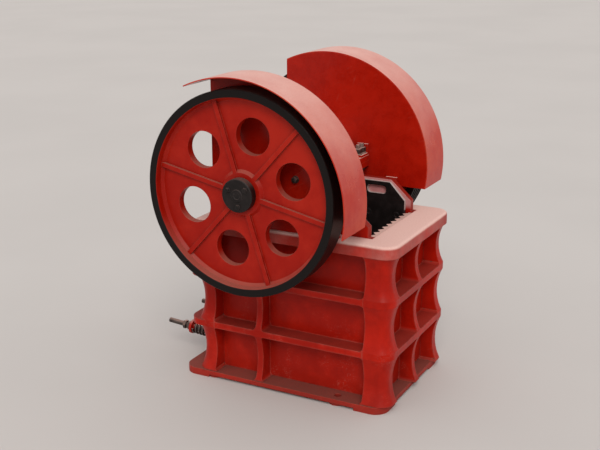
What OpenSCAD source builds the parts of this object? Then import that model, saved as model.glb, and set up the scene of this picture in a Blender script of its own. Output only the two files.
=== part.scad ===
// Small jaw crusher: ribbed box frame, fixed and swinging jaws, flywheel and belt pulley.
// Millimetres. +Z is up, -Y is the feed end, -X is the flywheel side.
// The origin is on the floor, in the middle of the four anchor holes.

/* [Frame] */
// Half width of the mouth between the side walls
mouth_half_w = 150; // [146:1:154]
// Thickness of the side walls
wall_t = 22; // [18:1:26]
// Thickness of the front wall
front_wall_t = 29; // [24:1:32]
// Thickness of the rear wall
rear_wall_t = 25; // [20:1:30]
// Depth of the ribs outside the walls
rib_depth = 58; // [50:1:62]
// Front of the ribs, measured from the middle of the anchor holes
rib_front = 387; // [380:1:400]
// Rear of the ribs, measured from the middle of the anchor holes
rib_rear = 300; // [290:1:310]
// Thickness of every rib
rib_t = 20; // [16:1:24]
// Top of the lower horizontal rib
rib_low_top = 189; // [180:1:200]
// Top of the upper horizontal rib
rib_high_top = 351; // [340:1:360]
// Radius of the outer corners of the ribs
rib_corner_r = 45; // [40:1:50]
// Radius in the corners of the pockets between the ribs
pocket_r = 12; // [6:1:16]
// How far the posts and upright ribs curve in between the horizontal ribs
scallop_depth = 16; // [8:1:20]
// Width of the corner posts on the front and rear
post_w = 65; // [58:1:70]
// Length of a rear post along the side
post_rear_len = 95; // [85:1:105]
// How far the rear posts stop short of the rear ribs
post_rear_inset = 26; // [20:1:30]
// Place of the upright side rib
side_rib_y = 48; // [30:1:70]

/* [Base] */
// Thickness of the base flange
base_t = 22; // [18:1:26]
// How far the base flange reaches out past the side ribs
base_lip = 6; // [2:1:10]
// How far the base flange stops short of the front ribs
base_setback = 14; // [8:1:20]
// How far the base flange reaches out behind the rear ribs
base_tail = 20; // [12:1:28]
// Depth of the hollow under the base flange between its feet
foot_relief = 8; // [4:1:10]
// Length of the feet at the corners of the base flange
foot_len = 95; // [80:1:110]
// Distance of the anchor holes from the side edges of the base flange
anchor_edge = 31; // [24:1:36]
// Spacing of the anchor holes along the machine
anchor_y = 426; // [410:1:440]
// Diameter of the anchor holes
anchor_d = 22; // [16:1:26]
// Radius of the round pads under the flange at the anchor holes
anchor_boss_r = 28; // [24:1:30]

/* [Deck and side walls] */
// Top of the deck
deck_top = 517; // [510:1:525]
// Thickness of the deck
deck_t = 37; // [30:1:40]
// How far the deck reaches out past the side ribs
deck_lip = 2; // [0:1:6]
// How far the deck reaches out past the front ribs
deck_overhang = 6; // [2:1:12]
// How far the deck reaches out behind the rear wall
deck_ledge = 20; // [10:1:30]
// Radius of the deck's rounded upper edge
deck_edge_r = 9; // [4:1:14]
// Height of the side walls above the deck, beside the mouth
cheek_rise = 93; // [85:1:98]
// Distance of their front edge from the front wall's inner face
cheek_setback = 12; // [6:1:16]
// Height of that edge above the deck
cheek_nose = 33; // [25:1:40]
// Length of their slanted front edge along the machine
cheek_slope = 67; // [55:1:75]

/* [Jaws] */
// Angle of the moving jaw from upright
nip = 20.9; // [19:0.1:22]
// Distance of the moving jaw's foot from the front wall's inner face
foot_gap = 62; // [60:1:66]
// Height of that foot above the floor
jaw_foot_z = 90; // [84:1:96]
// Length of the moving jaw plate
jaw_plate_len = 464; // [450:1:468]
// Thickness of the moving jaw plate over its teeth
jaw_plate_t = 34; // [30:1:36]
// Thickness of the fixed jaw plate over its teeth
fixed_plate_t = 28; // [24:1:32]
// Foot of the fixed jaw plate above the floor
fixed_foot_z = 74; // [60:1:80]
// How far the top of the fixed jaw plate lies below the top of the deck
fixed_top_drop = 5; // [2:1:10]
// Width of one tooth and its groove
tooth_pitch = 32; // [28:1:34]
// Height of the teeth
tooth_h = 11; // [8:1:12]
// Thickness of the black liners inside the side walls
liner_t = 12; // [10:1:13]
// Foot of the liners above the floor
liner_foot_z = 100; // [90:1:110]
// Width of that foot along the machine
liner_foot_len = 70; // [60:1:80]
// Height above the floor at which the liners reach their full length
liner_full_z = 400; // [380:1:420]
// Length of the slot in each liner
liner_slot_len = 64; // [56:1:70]
// Width of the slot in each liner
liner_slot_w = 26; // [20:1:30]
// Clearance between the moving jaw and the liners
jaw_side_gap = 6; // [5:0.5:8]
// Width of the middle piece of the clamp bar above the moving jaw plate
clamp_mid_w = 68; // [60:1:76]
// Gap between the pieces of the clamp bar
clamp_joint = 3; // [1:0.5:5]
// Gap between the clamp bar and the barrel
clamp_gap = 1.6; // [1:0.1:3]
// Thickness of the swing jaw's body behind the plate
jaw_body_t = 28; // [24:1:34]
// How far that body starts above the foot of the plate
jaw_body_start = 6; // [0:1:12]
// Depth of the ribs behind that body
jaw_rib_depth = 60; // [50:1:66]
// Thickness of those ribs
jaw_rib_t = 24; // [18:1:28]

/* [Shaft] */
// Height of the shaft above the deck
axis_rise = 130; // [126:1:134]
// Place of the shaft along the machine
axis_y = 37; // [34:1:40]
// Throw of the eccentric, which stands at its highest
throw = 6; // [4:0.5:7]
// Diameter of the shaft in its bearings
journal_d = 80; // [74:1:84]
// Diameter of the eccentric part
eccentric_d = 112; // [106:1:116]
// Diameter of the shaft in the wheels
wheel_seat_d = 66; // [60:1:70]
// Radial running clearance in the bearings
running_fit = 0.05; // [0.02:0.01:0.1]
// Radial clearance of the hubs and end caps on the shaft
seat_fit = 0.02; // [0.01:0.01:0.05]
// Outer radius of the swing jaw's barrel
barrel_r = 93; // [90:1:96]
// Distance between an end of the barrel and its bearing housing
barrel_gap = 12; // [11:0.5:16]
// Thickness of the black ring on each end of the barrel
barrel_ring_t = 6; // [4:0.5:6]
// Width of the bearing housings
housing_w = 70; // [64:1:74]
// Outer radius of the roller bearings
bearing_r = 70; // [66:1:74]
// Outer radius of the bearing caps
cap_r = 102; // [96:1:106]
// How far the split flange stands out past the housing's feet
flange_over = 10; // [6:1:14]
// Thickness of each split flange
flange_t = 18; // [14:1:22]
// Half length of the housings' feet
housing_foot_half = 140; // [134:1:146]
// Thickness of those feet
housing_foot_t = 20; // [16:1:24]
// How far the housings curve in between foot and flange
housing_waist = 30; // [20:1:34]

/* [Wheels] */
// Outer radius of the flywheel
flywheel_r = 301; // [294:1:306]
// Gap between the left bearing housing and the flywheel's rim
flywheel_gap = 55; // [50:1:60]
// Width of the flywheel's rim
flywheel_w = 79; // [70:1:84]
// Outer radius of the belt pulley
pulley_r = 303; // [296:1:306]
// Gap between the right bearing housing and the belt pulley's rim
pulley_gap = 45; // [40:1:50]
// Width of the belt pulley's rim
pulley_w = 89; // [84:1:92]
// Number of belt grooves
grooves = 4; // [3:1:5]
// Depth of a belt groove
groove_depth = 14; // [10:1:16]
// Radial thickness of both rims
rim_t = 26; // [22:1:32]
// Thickness of the wheels' webs
web_t = 24; // [18:1:30]
// How far a web is set back from the outer face of its rim
web_inset = 29; // [20:1:32]
// Number of holes and of spokes in a web
spokes = 6; // [5:1:6]
// Radius of the circle through the web holes' centres
web_hole_pitch_r = 171; // [165:1:176]
// Radius of the web holes
web_hole_r = 54; // [46:1:58]
// Width of the raised spokes
spoke_w = 13; // [10:1:18]
// Height of the raised spokes above the web
spoke_h = 9; // [5:1:14]
// Angle of the first web hole above the rear horizontal
wheel_phase = 42; // [0:1:59]
// Radius of the wheels' hubs
hub_r = 62; // [56:1:68]
// How far the hubs reach inwards past the rims
hub_tail = 12; // [6:1:18]
// Radius of the black end caps
end_cap_r = 49; // [44:1:52]
// Thickness of the black end caps
end_cap_t = 24; // [20:1:28]
// How far the shaft's ends stand out of the hubs, inside the end caps
shaft_proud = 16; // [12:1:16]

/* [Guards] */
// Clearance between the larger wheel and the guards' sheet
guard_clear = 44; // [38:1:50]
// Thickness of the guards' sheet
guard_t = 3; // [2:0.5:5]
// How far the middle of the guards' curve lies below the shaft
guard_drop = 11; // [6:1:16]
// Height of the guards' lower edge above the deck
guard_rise = 56; // [44:1:66]
// Distance of the guards' rear edge behind the shaft
guard_rear = 149; // [135:1:160]
// Gap between the left bearing housing and its guard
left_guard_gap = 23; // [18:1:28]
// How far the left guard reaches out past the flywheel
left_guard_lip = 34; // [26:1:40]
// How far the right guard reaches out past the belt pulley
right_guard_lip = 10; // [6:1:20]
// Radius of the opening round the shaft in the guards' plates
guard_hole_r = 71; // [66:1:76]
// Height of the cut-away behind the shaft, low down in the guards' plates
guard_cut_h = 109; // [100:1:120]
// Distance of the guards' front brackets ahead of the shaft
bracket_ahead = 232; // [220:1:240]
// Width of the brackets and straps
bracket_w = 38; // [30:1:42]
// Thickness of the brackets and straps
bracket_t = 7; // [5:1:8]
// Length of the brackets' feet on the deck
bracket_foot = 42; // [36:1:46]
// How far the brackets and straps lap the guards' plates
bracket_lap = 28; // [20:1:32]

/* [Toggle and tension rods] */
// Distance of the toggle's front seat behind the moving jaw's foot
heel_reach = 130; // [124:1:136]
// Height of that seat above the moving jaw's foot
heel_rise = 8; // [4:1:14]
// Length of the heel along the swing jaw
heel_len = 150; // [140:1:160]
// Height of the toggle's rear seat above the floor
seat_z = 190; // [180:1:200]
// Distance of that seat from the rear wall
seat_depth = 60; // [54:1:66]
// Height of the block that holds it, below the seat
seat_block_low = 48; // [40:1:54]
// Height of that block above the seat
seat_block_high = 62; // [54:1:68]
// Thickness of the toggle plate
toggle_t = 22; // [18:1:26]
// Half width of the toggle plate
toggle_half_w = 84; // [76:1:90]
// Clearance left at the open pivot between the toggle and the swing jaw
open_pivot = 12; // [11.5:0.5:16]
// Distance of each tension rod from the middle
rod_x = 100; // [98:1:106]
// Diameter of the tension rods
rod_d = 16; // [12:1:18]
// Angle of the tension rods above the horizontal
rod_tilt = 4.2; // [3.5:0.1:5]
// How far the rods' pins lie behind the toggle's seat in the swing jaw
pin_behind = 50; // [48:1:56]
// How far the rods' eyes lie below the toggle's seat in the swing jaw
pin_drop = 33; // [30:1:36]
// Diameter of the rods' pins
pin_d = 16; // [12:1:18]
// Thickness of a pin's head
pin_head_t = 5; // [4:1:6]
// Width of the eyes at the front of the rods
rod_eye_w = 20; // [16:1:22]
// Clearance of a pin in a rod's eye at the ends of the throw
rod_eye_gap = 4; // [3:0.5:5]
// Clearance between the rods and the swing jaw
rod_gap = 5; // [5:0.5:6]
// Length of the neck between a rod and its eye
eye_neck = 14; // [10:1:18]
// Thickness of the lugs that hold the pins
lug_t = 9; // [7:1:10]
// How far the rods reach out behind the rear wall
rod_tail = 218; // [208:1:228]
// Length of the springs behind the rear wall
spring_len = 123; // [110:1:136]
// Outer radius of the springs
spring_r = 21; // [18:1:24]
// Diameter of the springs' wire
spring_wire_d = 7; // [5:1:8]
// Number of turns in a spring
spring_turns = 9; // [7:1:10]

/* [Lifting eye] */
// Outer diameter of the lifting eye
eye_d = 75; // [70:1:82]
// Diameter of its hole
eye_hole_d = 33; // [28:1:40]
// Radius of its shank
eye_shank_r = 14; // [12:1:18]

/* [Hidden] */
$fn = 96;
edge = 2;
blend = 8;
touch = 0.3;
skin = 0.5;
wall_x = mouth_half_w + wall_t;
rib_x = wall_x + rib_depth;
post_x = rib_x - post_w;
base_x = rib_x + base_lip;
deck_x = rib_x + deck_lip;
base_front = rib_front - base_setback;
base_rear = rib_rear + base_tail;
anchor_x = 2 * (base_x - anchor_edge);
front_wall_y = -rib_front + rib_depth;
rear_wall_y = rib_rear - rib_depth;
chamber_y = front_wall_y + front_wall_t;
rear_inner_y = rear_wall_y - rear_wall_t;
post_front_len = rib_front + chamber_y;
flange_half_len = housing_foot_half + flange_over;
deck_low = deck_top - deck_t;
deck_front = rib_front + deck_overhang;
deck_rear = rear_wall_y + deck_ledge;
cheek_top = deck_top + cheek_rise;
cells = [[base_t, rib_low_top - rib_t], [rib_low_top, rib_high_top - rib_t], [rib_high_top, deck_low]];
bands = [rib_low_top - rib_t, rib_high_top - rib_t];
axis_z = deck_top + axis_rise;
eccentric_z = axis_z + throw;
housing_x = mouth_half_w + housing_w;
barrel_half_len = mouth_half_w - barrel_gap;
jaw_foot_y = chamber_y + foot_gap;
moving_half_w = mouth_half_w - liner_t - jaw_side_gap;
flywheel_outer = housing_x + flywheel_gap + flywheel_w;
pulley_outer = housing_x + pulley_gap + pulley_w;
left_guard_x = housing_x + left_guard_gap;
guard_r = max(flywheel_r, pulley_r) + guard_clear + guard_t;
guard_z = axis_z - guard_drop;
guard_low_z = deck_top + guard_rise;
heel = [jaw_foot_y + heel_reach, jaw_foot_z + heel_rise];
seat = [rear_inner_y - seat_depth, seat_z];
toggle_dir = atan2(seat[1] - heel[1], seat[0] - heel[0]);
toggle_len = norm(seat - heel) - open_pivot;
pin = [heel[0] + pin_behind, heel[1] - pin_drop + throw];
rod_eye_hole_r = pin_d / 2 + throw + rod_eye_gap;
rod_eye_r = rod_eye_hole_r + rod_d / 2;
red = [0.6, 0.12, 0.1];
dark_red = [0.5, 0.1, 0.08];
deck_dust = [0.84, 0.7, 0.66];
black = [0.1, 0.09, 0.09];
steel = [0.3, 0.27, 0.27];

// A box given by two opposite corners
module block(a, b) {
    translate(a)
        cube(b - a);
}

// An outline drawn in (y, z), made solid from x0 to x1
module across(x0, x1) {
    translate([x0, 0, 0])
        rotate([90, 0, 90])
            linear_extrude(x1 - x0)
                children();
}

// An outline drawn in (x, z), made solid from y0 to y1
module along(y0, y1) {
    translate([0, y1, 0])
        rotate([90, 0, 0])
            linear_extrude(y1 - y0)
                children();
}

// An upright rib's outline from z0 to z1, its outer edge curving in by dip
module scalloped(depth, z0, z1, dip = scallop_depth) {
    h = z1 - z0 - 2 * skin;
    r = (h * h / 4 + dip * dip) / (2 * dip);
    difference() {
        translate([0, z0])
            square([depth, z1 - z0]);
        translate([depth + r - dip, (z0 + z1) / 2])
            circle(r, $fn = 180);
    }
}

// A rectangle with four round corners
module rounded(u0, u1, z0, z1, r) {
    translate([u0 + r, z0])
        square([u1 - u0 - 2 * r, z1 - z0]);
    translate([u0, z0 + r])
        square([u1 - u0, z1 - z0 - 2 * r]);
    for (u = [u0 + r, u1 - r], z = [z0 + r, z1 - r])
        translate([u, z])
            circle(r);
}

// The upright rib between two pockets and the pockets' rounded corners, out along +y
module ribbed_cells(u0, u1, rib, depth) {
    for (c = cells)
        intersection() {
            across(u0, u1)
                scalloped(depth, c[0], c[1]);
            along(-1, depth + 1)
                difference() {
                    translate([u0 - 1, c[0] - 1])
                        square([u1 - u0 + 2, c[1] - c[0] + 2]);
                    rounded(u0 - skin, rib - rib_t / 2, c[0] - skin, c[1] + skin, pocket_r);
                    rounded(rib + rib_t / 2, u1 + skin, c[0] - skin, c[1] + skin, pocket_r);
                }
        }
}

module anchor_places() {
    for (x = [-1, 1], y = [-1, 1])
        translate([x * anchor_x / 2, y * anchor_y / 2, 0])
            children();
}

module base_flange() {
    color(dark_red)
        difference() {
            union() {
                difference() {
                    linear_extrude(base_t)
                        rounded(-base_x, base_x, -base_front, base_rear, rib_corner_r);
                    block([-base_x - 1, -base_front + foot_len, -1],
                        [base_x + 1, base_rear - foot_len, foot_relief]);
                    block([-base_x + foot_len, -base_front - 1, -1],
                        [base_x - foot_len, base_rear + 1, foot_relief]);
                }
                anchor_places()
                    cylinder(r = anchor_boss_r, h = base_t);
            }
            block([-mouth_half_w, chamber_y, -1], [mouth_half_w, rear_inner_y, base_t + 1]);
            anchor_places()
                translate([0, 0, -1])
                    cylinder(d = anchor_d, h = base_t + 2);
        }
}

module front_wall() {
    color(red) {
        block([-wall_x, front_wall_y, base_t], [wall_x, chamber_y, deck_low]);
        for (z = bands)
            block([-post_x, -rib_front, z], [post_x, front_wall_y, z + rib_t]);
        translate([0, front_wall_y, 0])
            mirror([0, 1, 0])
                ribbed_cells(-post_x, post_x, 0, rib_depth);
    }
}

module rear_wall() {
    color(red)
        difference() {
            union() {
                block([-wall_x, rear_inner_y, base_t], [wall_x, rear_wall_y, deck_low]);
                for (z = bands)
                    block([-post_x, rear_wall_y, z], [post_x, rib_rear, z + rib_t]);
                translate([0, rear_wall_y, 0])
                    ribbed_cells(-post_x, post_x, 0, rib_depth - post_rear_inset);
            }
            rod_lines()
                cylinder(d = rod_d + 2 * running_fit, h = rear_wall_y - chamber_y);
        }
}

// The side wall in (y, z): beside the mouth it rises above the deck
module wall_outline() {
    nose_y = chamber_y + cheek_setback;
    back_y = axis_y - housing_foot_half;
    polygon([
        [chamber_y, base_t],
        [rear_inner_y, base_t],
        [rear_inner_y, deck_top],
        [back_y, deck_top],
        [back_y, cheek_top],
        [nose_y + cheek_slope, cheek_top],
        [nose_y, deck_top + cheek_nose],
        [nose_y, deck_top],
        [chamber_y, deck_top]]);
}

module side_wall() {
    front = -rib_front + post_front_len;
    rear = rib_rear - post_rear_len;
    across(mouth_half_w, wall_x)
        wall_outline();
    for (z = bands)
        block([wall_x, front, z], [rib_x, rear, z + rib_t]);
    translate([wall_x, 0, 0])
        mirror([1, -1, 0])
            ribbed_cells(front, rear, side_rib_y, rib_depth);
}

module right_wall() {
    color(red)
        side_wall();
}

module left_wall() {
    color(red)
        mirror([1, 0, 0])
            side_wall();
}

// Corner post for positive x and y, its ribs meeting the machine's corner at (rib_x, end_y)
module corner_post(end_y, wall_y, arm, inset) {
    r = rib_corner_r;
    post_y = end_y - inset;
    for (c = cells) {
        translate([rib_x - r, post_y - r, 0])
            rotate_extrude(angle = 90)
                scalloped(r, c[0], c[1]);
        translate([wall_x, 0, 0])
            along(end_y - arm, post_y - r)
                scalloped(rib_depth, c[0], c[1]);
        translate([0, wall_y, 0])
            across(post_x, rib_x - r)
                scalloped(post_y - wall_y, c[0], c[1]);
    }
    block([wall_x, post_y - r - 1, base_t], [rib_x - r, max(wall_y, post_y - r), deck_low]);
    for (z = bands) {
        translate([rib_x - r, end_y - r, z])
            rotate_extrude(angle = 90)
                square([r, rib_t]);
        block([wall_x, end_y - arm, z], [rib_x, end_y - r, z + rib_t]);
        block([post_x, wall_y, z], [rib_x - r, end_y, z + rib_t]);
    }
}

module front_right_post() {
    color(red)
        mirror([0, 1, 0])
            corner_post(rib_front, -front_wall_y, post_front_len, 0);
}

module front_left_post() {
    color(red)
        mirror([1, 0, 0])
            front_right_post();
}

module rear_right_post() {
    color(red)
        corner_post(rib_rear, rear_wall_y, post_rear_len, post_rear_inset);
}

module rear_left_post() {
    color(red)
        mirror([1, 0, 0])
            rear_right_post();
}

// Section of the deck's outer edge, out along x, with its upper corner rounded
module deck_edge() {
    square([rib_corner_r, deck_t - deck_edge_r]);
    square([rib_corner_r - deck_edge_r, deck_t]);
    translate([rib_corner_r - deck_edge_r, deck_t - deck_edge_r])
        circle(deck_edge_r);
}

module deck_plate() {
    core_x = deck_x - rib_corner_r;
    core_y = -deck_front + rib_corner_r;
    color(deck_dust)
        translate([0, 0, deck_low]) {
            linear_extrude(deck_t)
                difference() {
                    translate([-core_x, core_y])
                        square([2 * core_x, deck_rear - core_y]);
                    translate([-wall_x, chamber_y])
                        square([2 * wall_x, rear_inner_y - chamber_y]);
                }
            translate([0, core_y, 0])
                mirror([0, 1, 0])
                    across(-core_x, core_x)
                        deck_edge();
            for (side = [0, 1])
                mirror([side, 0, 0])
                    translate([core_x, 0, 0]) {
                        along(core_y, deck_rear)
                            deck_edge();
                        translate([0, core_y, 0])
                            mirror([0, 1, 0])
                                rotate_extrude(angle = 90)
                                    deck_edge();
                    }
        }
}

// Outline of a corrugated plate: flat back at y = 0, teeth out to y = t
module toothed_outline(half_w, t) {
    n = floor(2 * half_w / tooth_pitch);
    root = t - tooth_h;
    tooth = [[0.08, root], [0.37, t - edge], [0.42, t], [0.58, t], [0.63, t - edge], [0.92, root]];
    points = [for (i = [0 : n - 1], p = tooth) [(i - n / 2 + p[0]) * tooth_pitch, p[1]]];
    polygon(concat([[-half_w, 0], [-half_w, root]], points, [[half_w, root], [half_w, 0]]));
}

module fixed_jaw_plate() {
    color(black)
        translate([0, chamber_y, fixed_foot_z])
            linear_extrude(deck_top - fixed_top_drop - fixed_foot_z)
                toothed_outline(mouth_half_w, fixed_plate_t);
}

module liner() {
    front = chamber_y + fixed_plate_t + touch;
    rear = axis_y - flange_half_len;
    top = cheek_top - liner_t / 2;
    slot_y = rear - liner_slot_len;
    slot_z = top - liner_slot_w / 2;
    across(mouth_half_w - liner_t, mouth_half_w)
        difference() {
            polygon([
                [front, liner_foot_z],
                [front + liner_foot_len, liner_foot_z],
                [rear, liner_full_z],
                [rear, top],
                [chamber_y + cheek_setback + cheek_slope, top],
                [front, deck_top + cheek_nose]]);
            rounded(slot_y - liner_slot_len / 2, slot_y + liner_slot_len / 2,
                slot_z - liner_slot_w, slot_z, liner_slot_w / 2 - edge);
        }
}

module right_liner() {
    color(black)
        liner();
}

module left_liner() {
    color(black)
        mirror([1, 0, 0])
            liner();
}

// Things turned about the shaft: children are drawn about z
module shaft_line(z = axis_z) {
    translate([0, axis_y, z])
        rotate([0, 90, 0])
            children();
}

module bearing_base() {
    difference() {
        translate([0, axis_y, axis_z])
            across(mouth_half_w, housing_x) {
                for (side = [0, 1])
                    mirror([side, 0])
                        scalloped(housing_foot_half, housing_foot_t - axis_rise, -flange_t, housing_waist);
                translate([-housing_foot_half, -axis_rise])
                    square([2 * housing_foot_half, housing_foot_t]);
                translate([-flange_half_len, -flange_t])
                    square([2 * flange_half_len, flange_t]);
            }
        shaft_line()
            cylinder(r = bearing_r, h = 3 * housing_x, center = true);
    }
}

module bearing_cap() {
    difference() {
        translate([0, axis_y, axis_z])
            across(mouth_half_w, housing_x) {
                intersection() {
                    circle(cap_r);
                    translate([-cap_r - 1, 0])
                        square([2 * cap_r + 2, cap_r + 1]);
                }
                translate([-flange_half_len, 0])
                    square([2 * flange_half_len, flange_t]);
            }
        shaft_line()
            cylinder(r = bearing_r, h = 3 * housing_x, center = true);
    }
}

module right_bearing_base() {
    color(red)
        bearing_base();
}

module left_bearing_base() {
    color(red)
        mirror([1, 0, 0])
            bearing_base();
}

module right_bearing_cap() {
    color(red)
        bearing_cap();
}

module left_bearing_cap() {
    color(red)
        mirror([1, 0, 0])
            bearing_cap();
}

module bearing() {
    shaft_line()
        translate([0, 0, mouth_half_w + edge])
            difference() {
                cylinder(r = bearing_r, h = housing_w - 2 * edge);
                translate([0, 0, -1])
                    cylinder(d = journal_d + 2 * running_fit, h = housing_w);
            }
}

module right_bearing() {
    color(steel)
        bearing();
}

module left_bearing() {
    color(steel)
        mirror([1, 0, 0])
            bearing();
}

// Outer end of the hub of a wheel whose rim ends at outer
function hub_front(outer) = outer - web_inset + spoke_h;

module eccentric_shaft() {
    left_end = hub_front(flywheel_outer) + shaft_proud;
    right_end = hub_front(pulley_outer) + shaft_proud;
    color(steel) {
        shaft_line() {
            cylinder(d = journal_d, h = 2 * (housing_x + edge), center = true);
            translate([0, 0, -left_end])
                cylinder(d = wheel_seat_d, h = left_end + right_end);
        }
        shaft_line(eccentric_z)
            cylinder(d = eccentric_d, h = 2 * (barrel_half_len - edge), center = true);
    }
}

// The belt grooves cut into a rim that starts at z = inner
function groove_points(r, inner) =
    let (land = pulley_w / (grooves + 1) / 2, pitch = (pulley_w - land) / grooves)
    [for (i = [0 : grooves - 1], p = [[-0.36, 0], [-0.16, groove_depth], [0.16, groove_depth], [0.36, 0]])
        [r - p[1], inner + land / 2 + (i + 0.5 + p[0]) * pitch]];

// A cast wheel about z, its outer face towards +z: hub, web, rim, raised spokes and round holes
module wheel(r, w, outer, rim_cuts) {
    bore = wheel_seat_d / 2 + seat_fit;
    inner = outer - w;
    web = outer - web_inset;
    back = web - web_t;
    rim_in = r - rim_t;
    hub = hub_front(outer);
    profile = concat(
        [[bore, inner - hub_tail], [hub_r, inner - hub_tail], [hub_r + blend, back], [rim_in - blend, back],
            [rim_in, back - blend], [rim_in, inner + edge], [rim_in + edge, inner],
            [r - edge, inner], [r, inner + edge]],
        rim_cuts,
        [[r, outer - edge], [r - edge, outer], [rim_in + 2 * edge, outer], [rim_in + edge, outer - edge],
            [rim_in, web + blend], [rim_in - blend, web], [hub_r + blend, web], [hub_r, hub], [bore, hub]]);
    difference() {
        union() {
            rotate_extrude($fn = 144)
                polygon(profile);
            for (i = [0 : spokes - 1])
                rotate([0, 0, (i + 0.5) * 360 / spokes])
                    block([hub_r - edge, -spoke_w / 2, web - edge],
                        [rim_in + edge / 2, spoke_w / 2, web + spoke_h]);
        }
        for (i = [0 : spokes - 1])
            rotate([0, 0, i * 360 / spokes])
                translate([web_hole_pitch_r, 0, back - 1])
                    cylinder(r = web_hole_r, h = web_t + 2);
    }
}

// Turn a wheel drawn about z so that its x axis points up and to the rear by wheel_phase
module flywheel_side() {
    translate([0, axis_y, axis_z])
        rotate([wheel_phase, 0, 0])
            rotate([0, -90, 0])
                rotate([0, 0, 90])
                    children();
}

module pulley_side() {
    mirror([1, 0, 0])
        flywheel_side()
            children();
}

module flywheel() {
    color(red)
        flywheel_side()
            wheel(flywheel_r, flywheel_w, flywheel_outer, []);
}

module belt_pulley() {
    color(red)
        pulley_side()
            wheel(pulley_r, pulley_w, pulley_outer, groove_points(pulley_r, pulley_outer - pulley_w));
}

module end_cap(outer) {
    recess = wheel_seat_d / 2 + seat_fit;
    translate([0, 0, hub_front(outer)])
        rotate_extrude()
            polygon([[recess, 0], [end_cap_r, 0],
                [end_cap_r, end_cap_t - edge], [end_cap_r - edge, end_cap_t],
                [0, end_cap_t], [0, shaft_proud + touch], [recess, shaft_proud + touch]]);
}

module flywheel_cap() {
    color(black)
        flywheel_side()
            end_cap(flywheel_outer);
}

module pulley_cap() {
    color(black)
        pulley_side()
            end_cap(pulley_outer);
}

// Place things drawn in the moving jaw's own frame: z up along the plate, y rearwards
module jaw_line() {
    translate([0, jaw_foot_y, jaw_foot_z])
        rotate([-nip, 0, 0])
            children();
}

// A point of the moving jaw's own frame in the machine's (y, z), and the other way round
function from_jaw(y, z) =
    [jaw_foot_y + y * cos(nip) + z * sin(nip), jaw_foot_z - y * sin(nip) + z * cos(nip)];
function to_jaw(y, z) = let (dy = y - jaw_foot_y, dz = z - jaw_foot_z)
    [dy * cos(nip) - dz * sin(nip), dy * sin(nip) + dz * cos(nip)];
barrel = to_jaw(axis_y, eccentric_z);

module moving_jaw_plate() {
    color(steel)
        jaw_line()
            translate([0, jaw_plate_t, 0])
                mirror([0, 1, 0])
                    linear_extrude(jaw_plate_len)
                        toothed_outline(moving_half_w, jaw_plate_t);
}

module jaw_clamp() {
    low = jaw_plate_len;
    top = barrel[1] - sqrt(pow(barrel_r, 2) - pow(barrel[0] - jaw_plate_t, 2)) - clamp_gap;
    face = tooth_h / 2;
    mid = clamp_mid_w / 2;
    end = moving_half_w - edge;
    color(steel)
        jaw_line()
            for (x = [[-end, -mid - clamp_joint], [-mid, mid], [mid + clamp_joint, end]])
                across(x[0], x[1])
                    polygon([[face, low], [jaw_plate_t, low], [jaw_plate_t, top],
                        [face + blend, top], [face, top - blend]]);
}

module jaw_rib_outline() {
    depth = jaw_plate_t + jaw_rib_depth;
    polygon([[jaw_plate_t, jaw_rib_depth], [depth, jaw_rib_depth], [depth + edge, 3 * jaw_rib_depth],
        [barrel[0] + barrel_r - blend, barrel[1] - jaw_rib_depth], barrel, [jaw_plate_t, barrel[1]]]);
}

// The heel's rear face stands square to the toggle
module heel_outline() {
    square_to = [-sin(toggle_dir), cos(toggle_dir)];
    polygon([from_jaw(jaw_plate_t + 1, jaw_body_start), heel - 1.5 * toggle_t * square_to,
        heel + 2 * toggle_t * square_to, from_jaw(jaw_plate_t + jaw_rib_depth - blend, heel_len),
        from_jaw(jaw_plate_t + 1, heel_len)]);
}

// Plate between the heel's rear face and a rod's pin
module lug_outline() {
    along_heel = [-sin(toggle_dir), cos(toggle_dir)];
    to_pin = (pin - heel) / norm(pin - heel);
    half = (pin_d - edge) * [-to_pin[1], to_pin[0]];
    translate(pin)
        circle(pin_d);
    polygon([heel - 1.3 * toggle_t * along_heel, pin - half, pin + half, heel + toggle_t * along_heel]);
}

module swing_jaw() {
    rib_places = [-moving_half_w + jaw_rib_t / 2, 0, moving_half_w - jaw_rib_t / 2];
    color(red)
        difference() {
            union() {
                difference() {
                    union() {
                        jaw_line() {
                            block([-moving_half_w, jaw_plate_t, jaw_body_start],
                                [moving_half_w, jaw_plate_t + jaw_body_t, barrel[1]]);
                            for (x = rib_places)
                                across(x - jaw_rib_t / 2, x + jaw_rib_t / 2)
                                    jaw_rib_outline();
                        }
                        across(-moving_half_w, moving_half_w)
                            heel_outline();
                    }
                    across(-moving_half_w - 1, moving_half_w + 1)
                        translate(heel)
                            circle(toggle_t / 2 + touch);
                }
                shaft_line(eccentric_z)
                    cylinder(r = barrel_r, h = 2 * barrel_half_len, center = true);
            }
            shaft_line(eccentric_z)
                cylinder(d = eccentric_d + 2 * running_fit, h = 3 * barrel_half_len, center = true);
        }
}

// Lugs behind the swing jaw's heel, each with the pin that a rod's eye runs round
module rod_lugs() {
    eye_side = rod_eye_w / 2 + rod_gap;
    color(red)
        for (side = [0, 1])
            mirror([side, 0, 0]) {
                across(rod_x + eye_side, rod_x + eye_side + lug_t)
                    lug_outline();
                across(rod_x - eye_side - pin_head_t / 2, rod_x + eye_side + lug_t / 2)
                    translate(pin)
                        circle(d = pin_d);
                across(rod_x - eye_side - pin_head_t, rod_x - eye_side)
                    translate(pin)
                        circle(pin_d * 0.75);
            }
}

module barrel_rings() {
    color(black)
        for (side = [0, 1])
            mirror([side, 0, 0])
                shaft_line(eccentric_z)
                    translate([0, 0, barrel_half_len])
                        difference() {
                            cylinder(r = barrel_r - edge / 2, h = barrel_ring_t);
                            translate([0, 0, -1])
                                cylinder(r = eccentric_d / 2 + blend, h = barrel_ring_t + 2);
                        }
}

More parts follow.
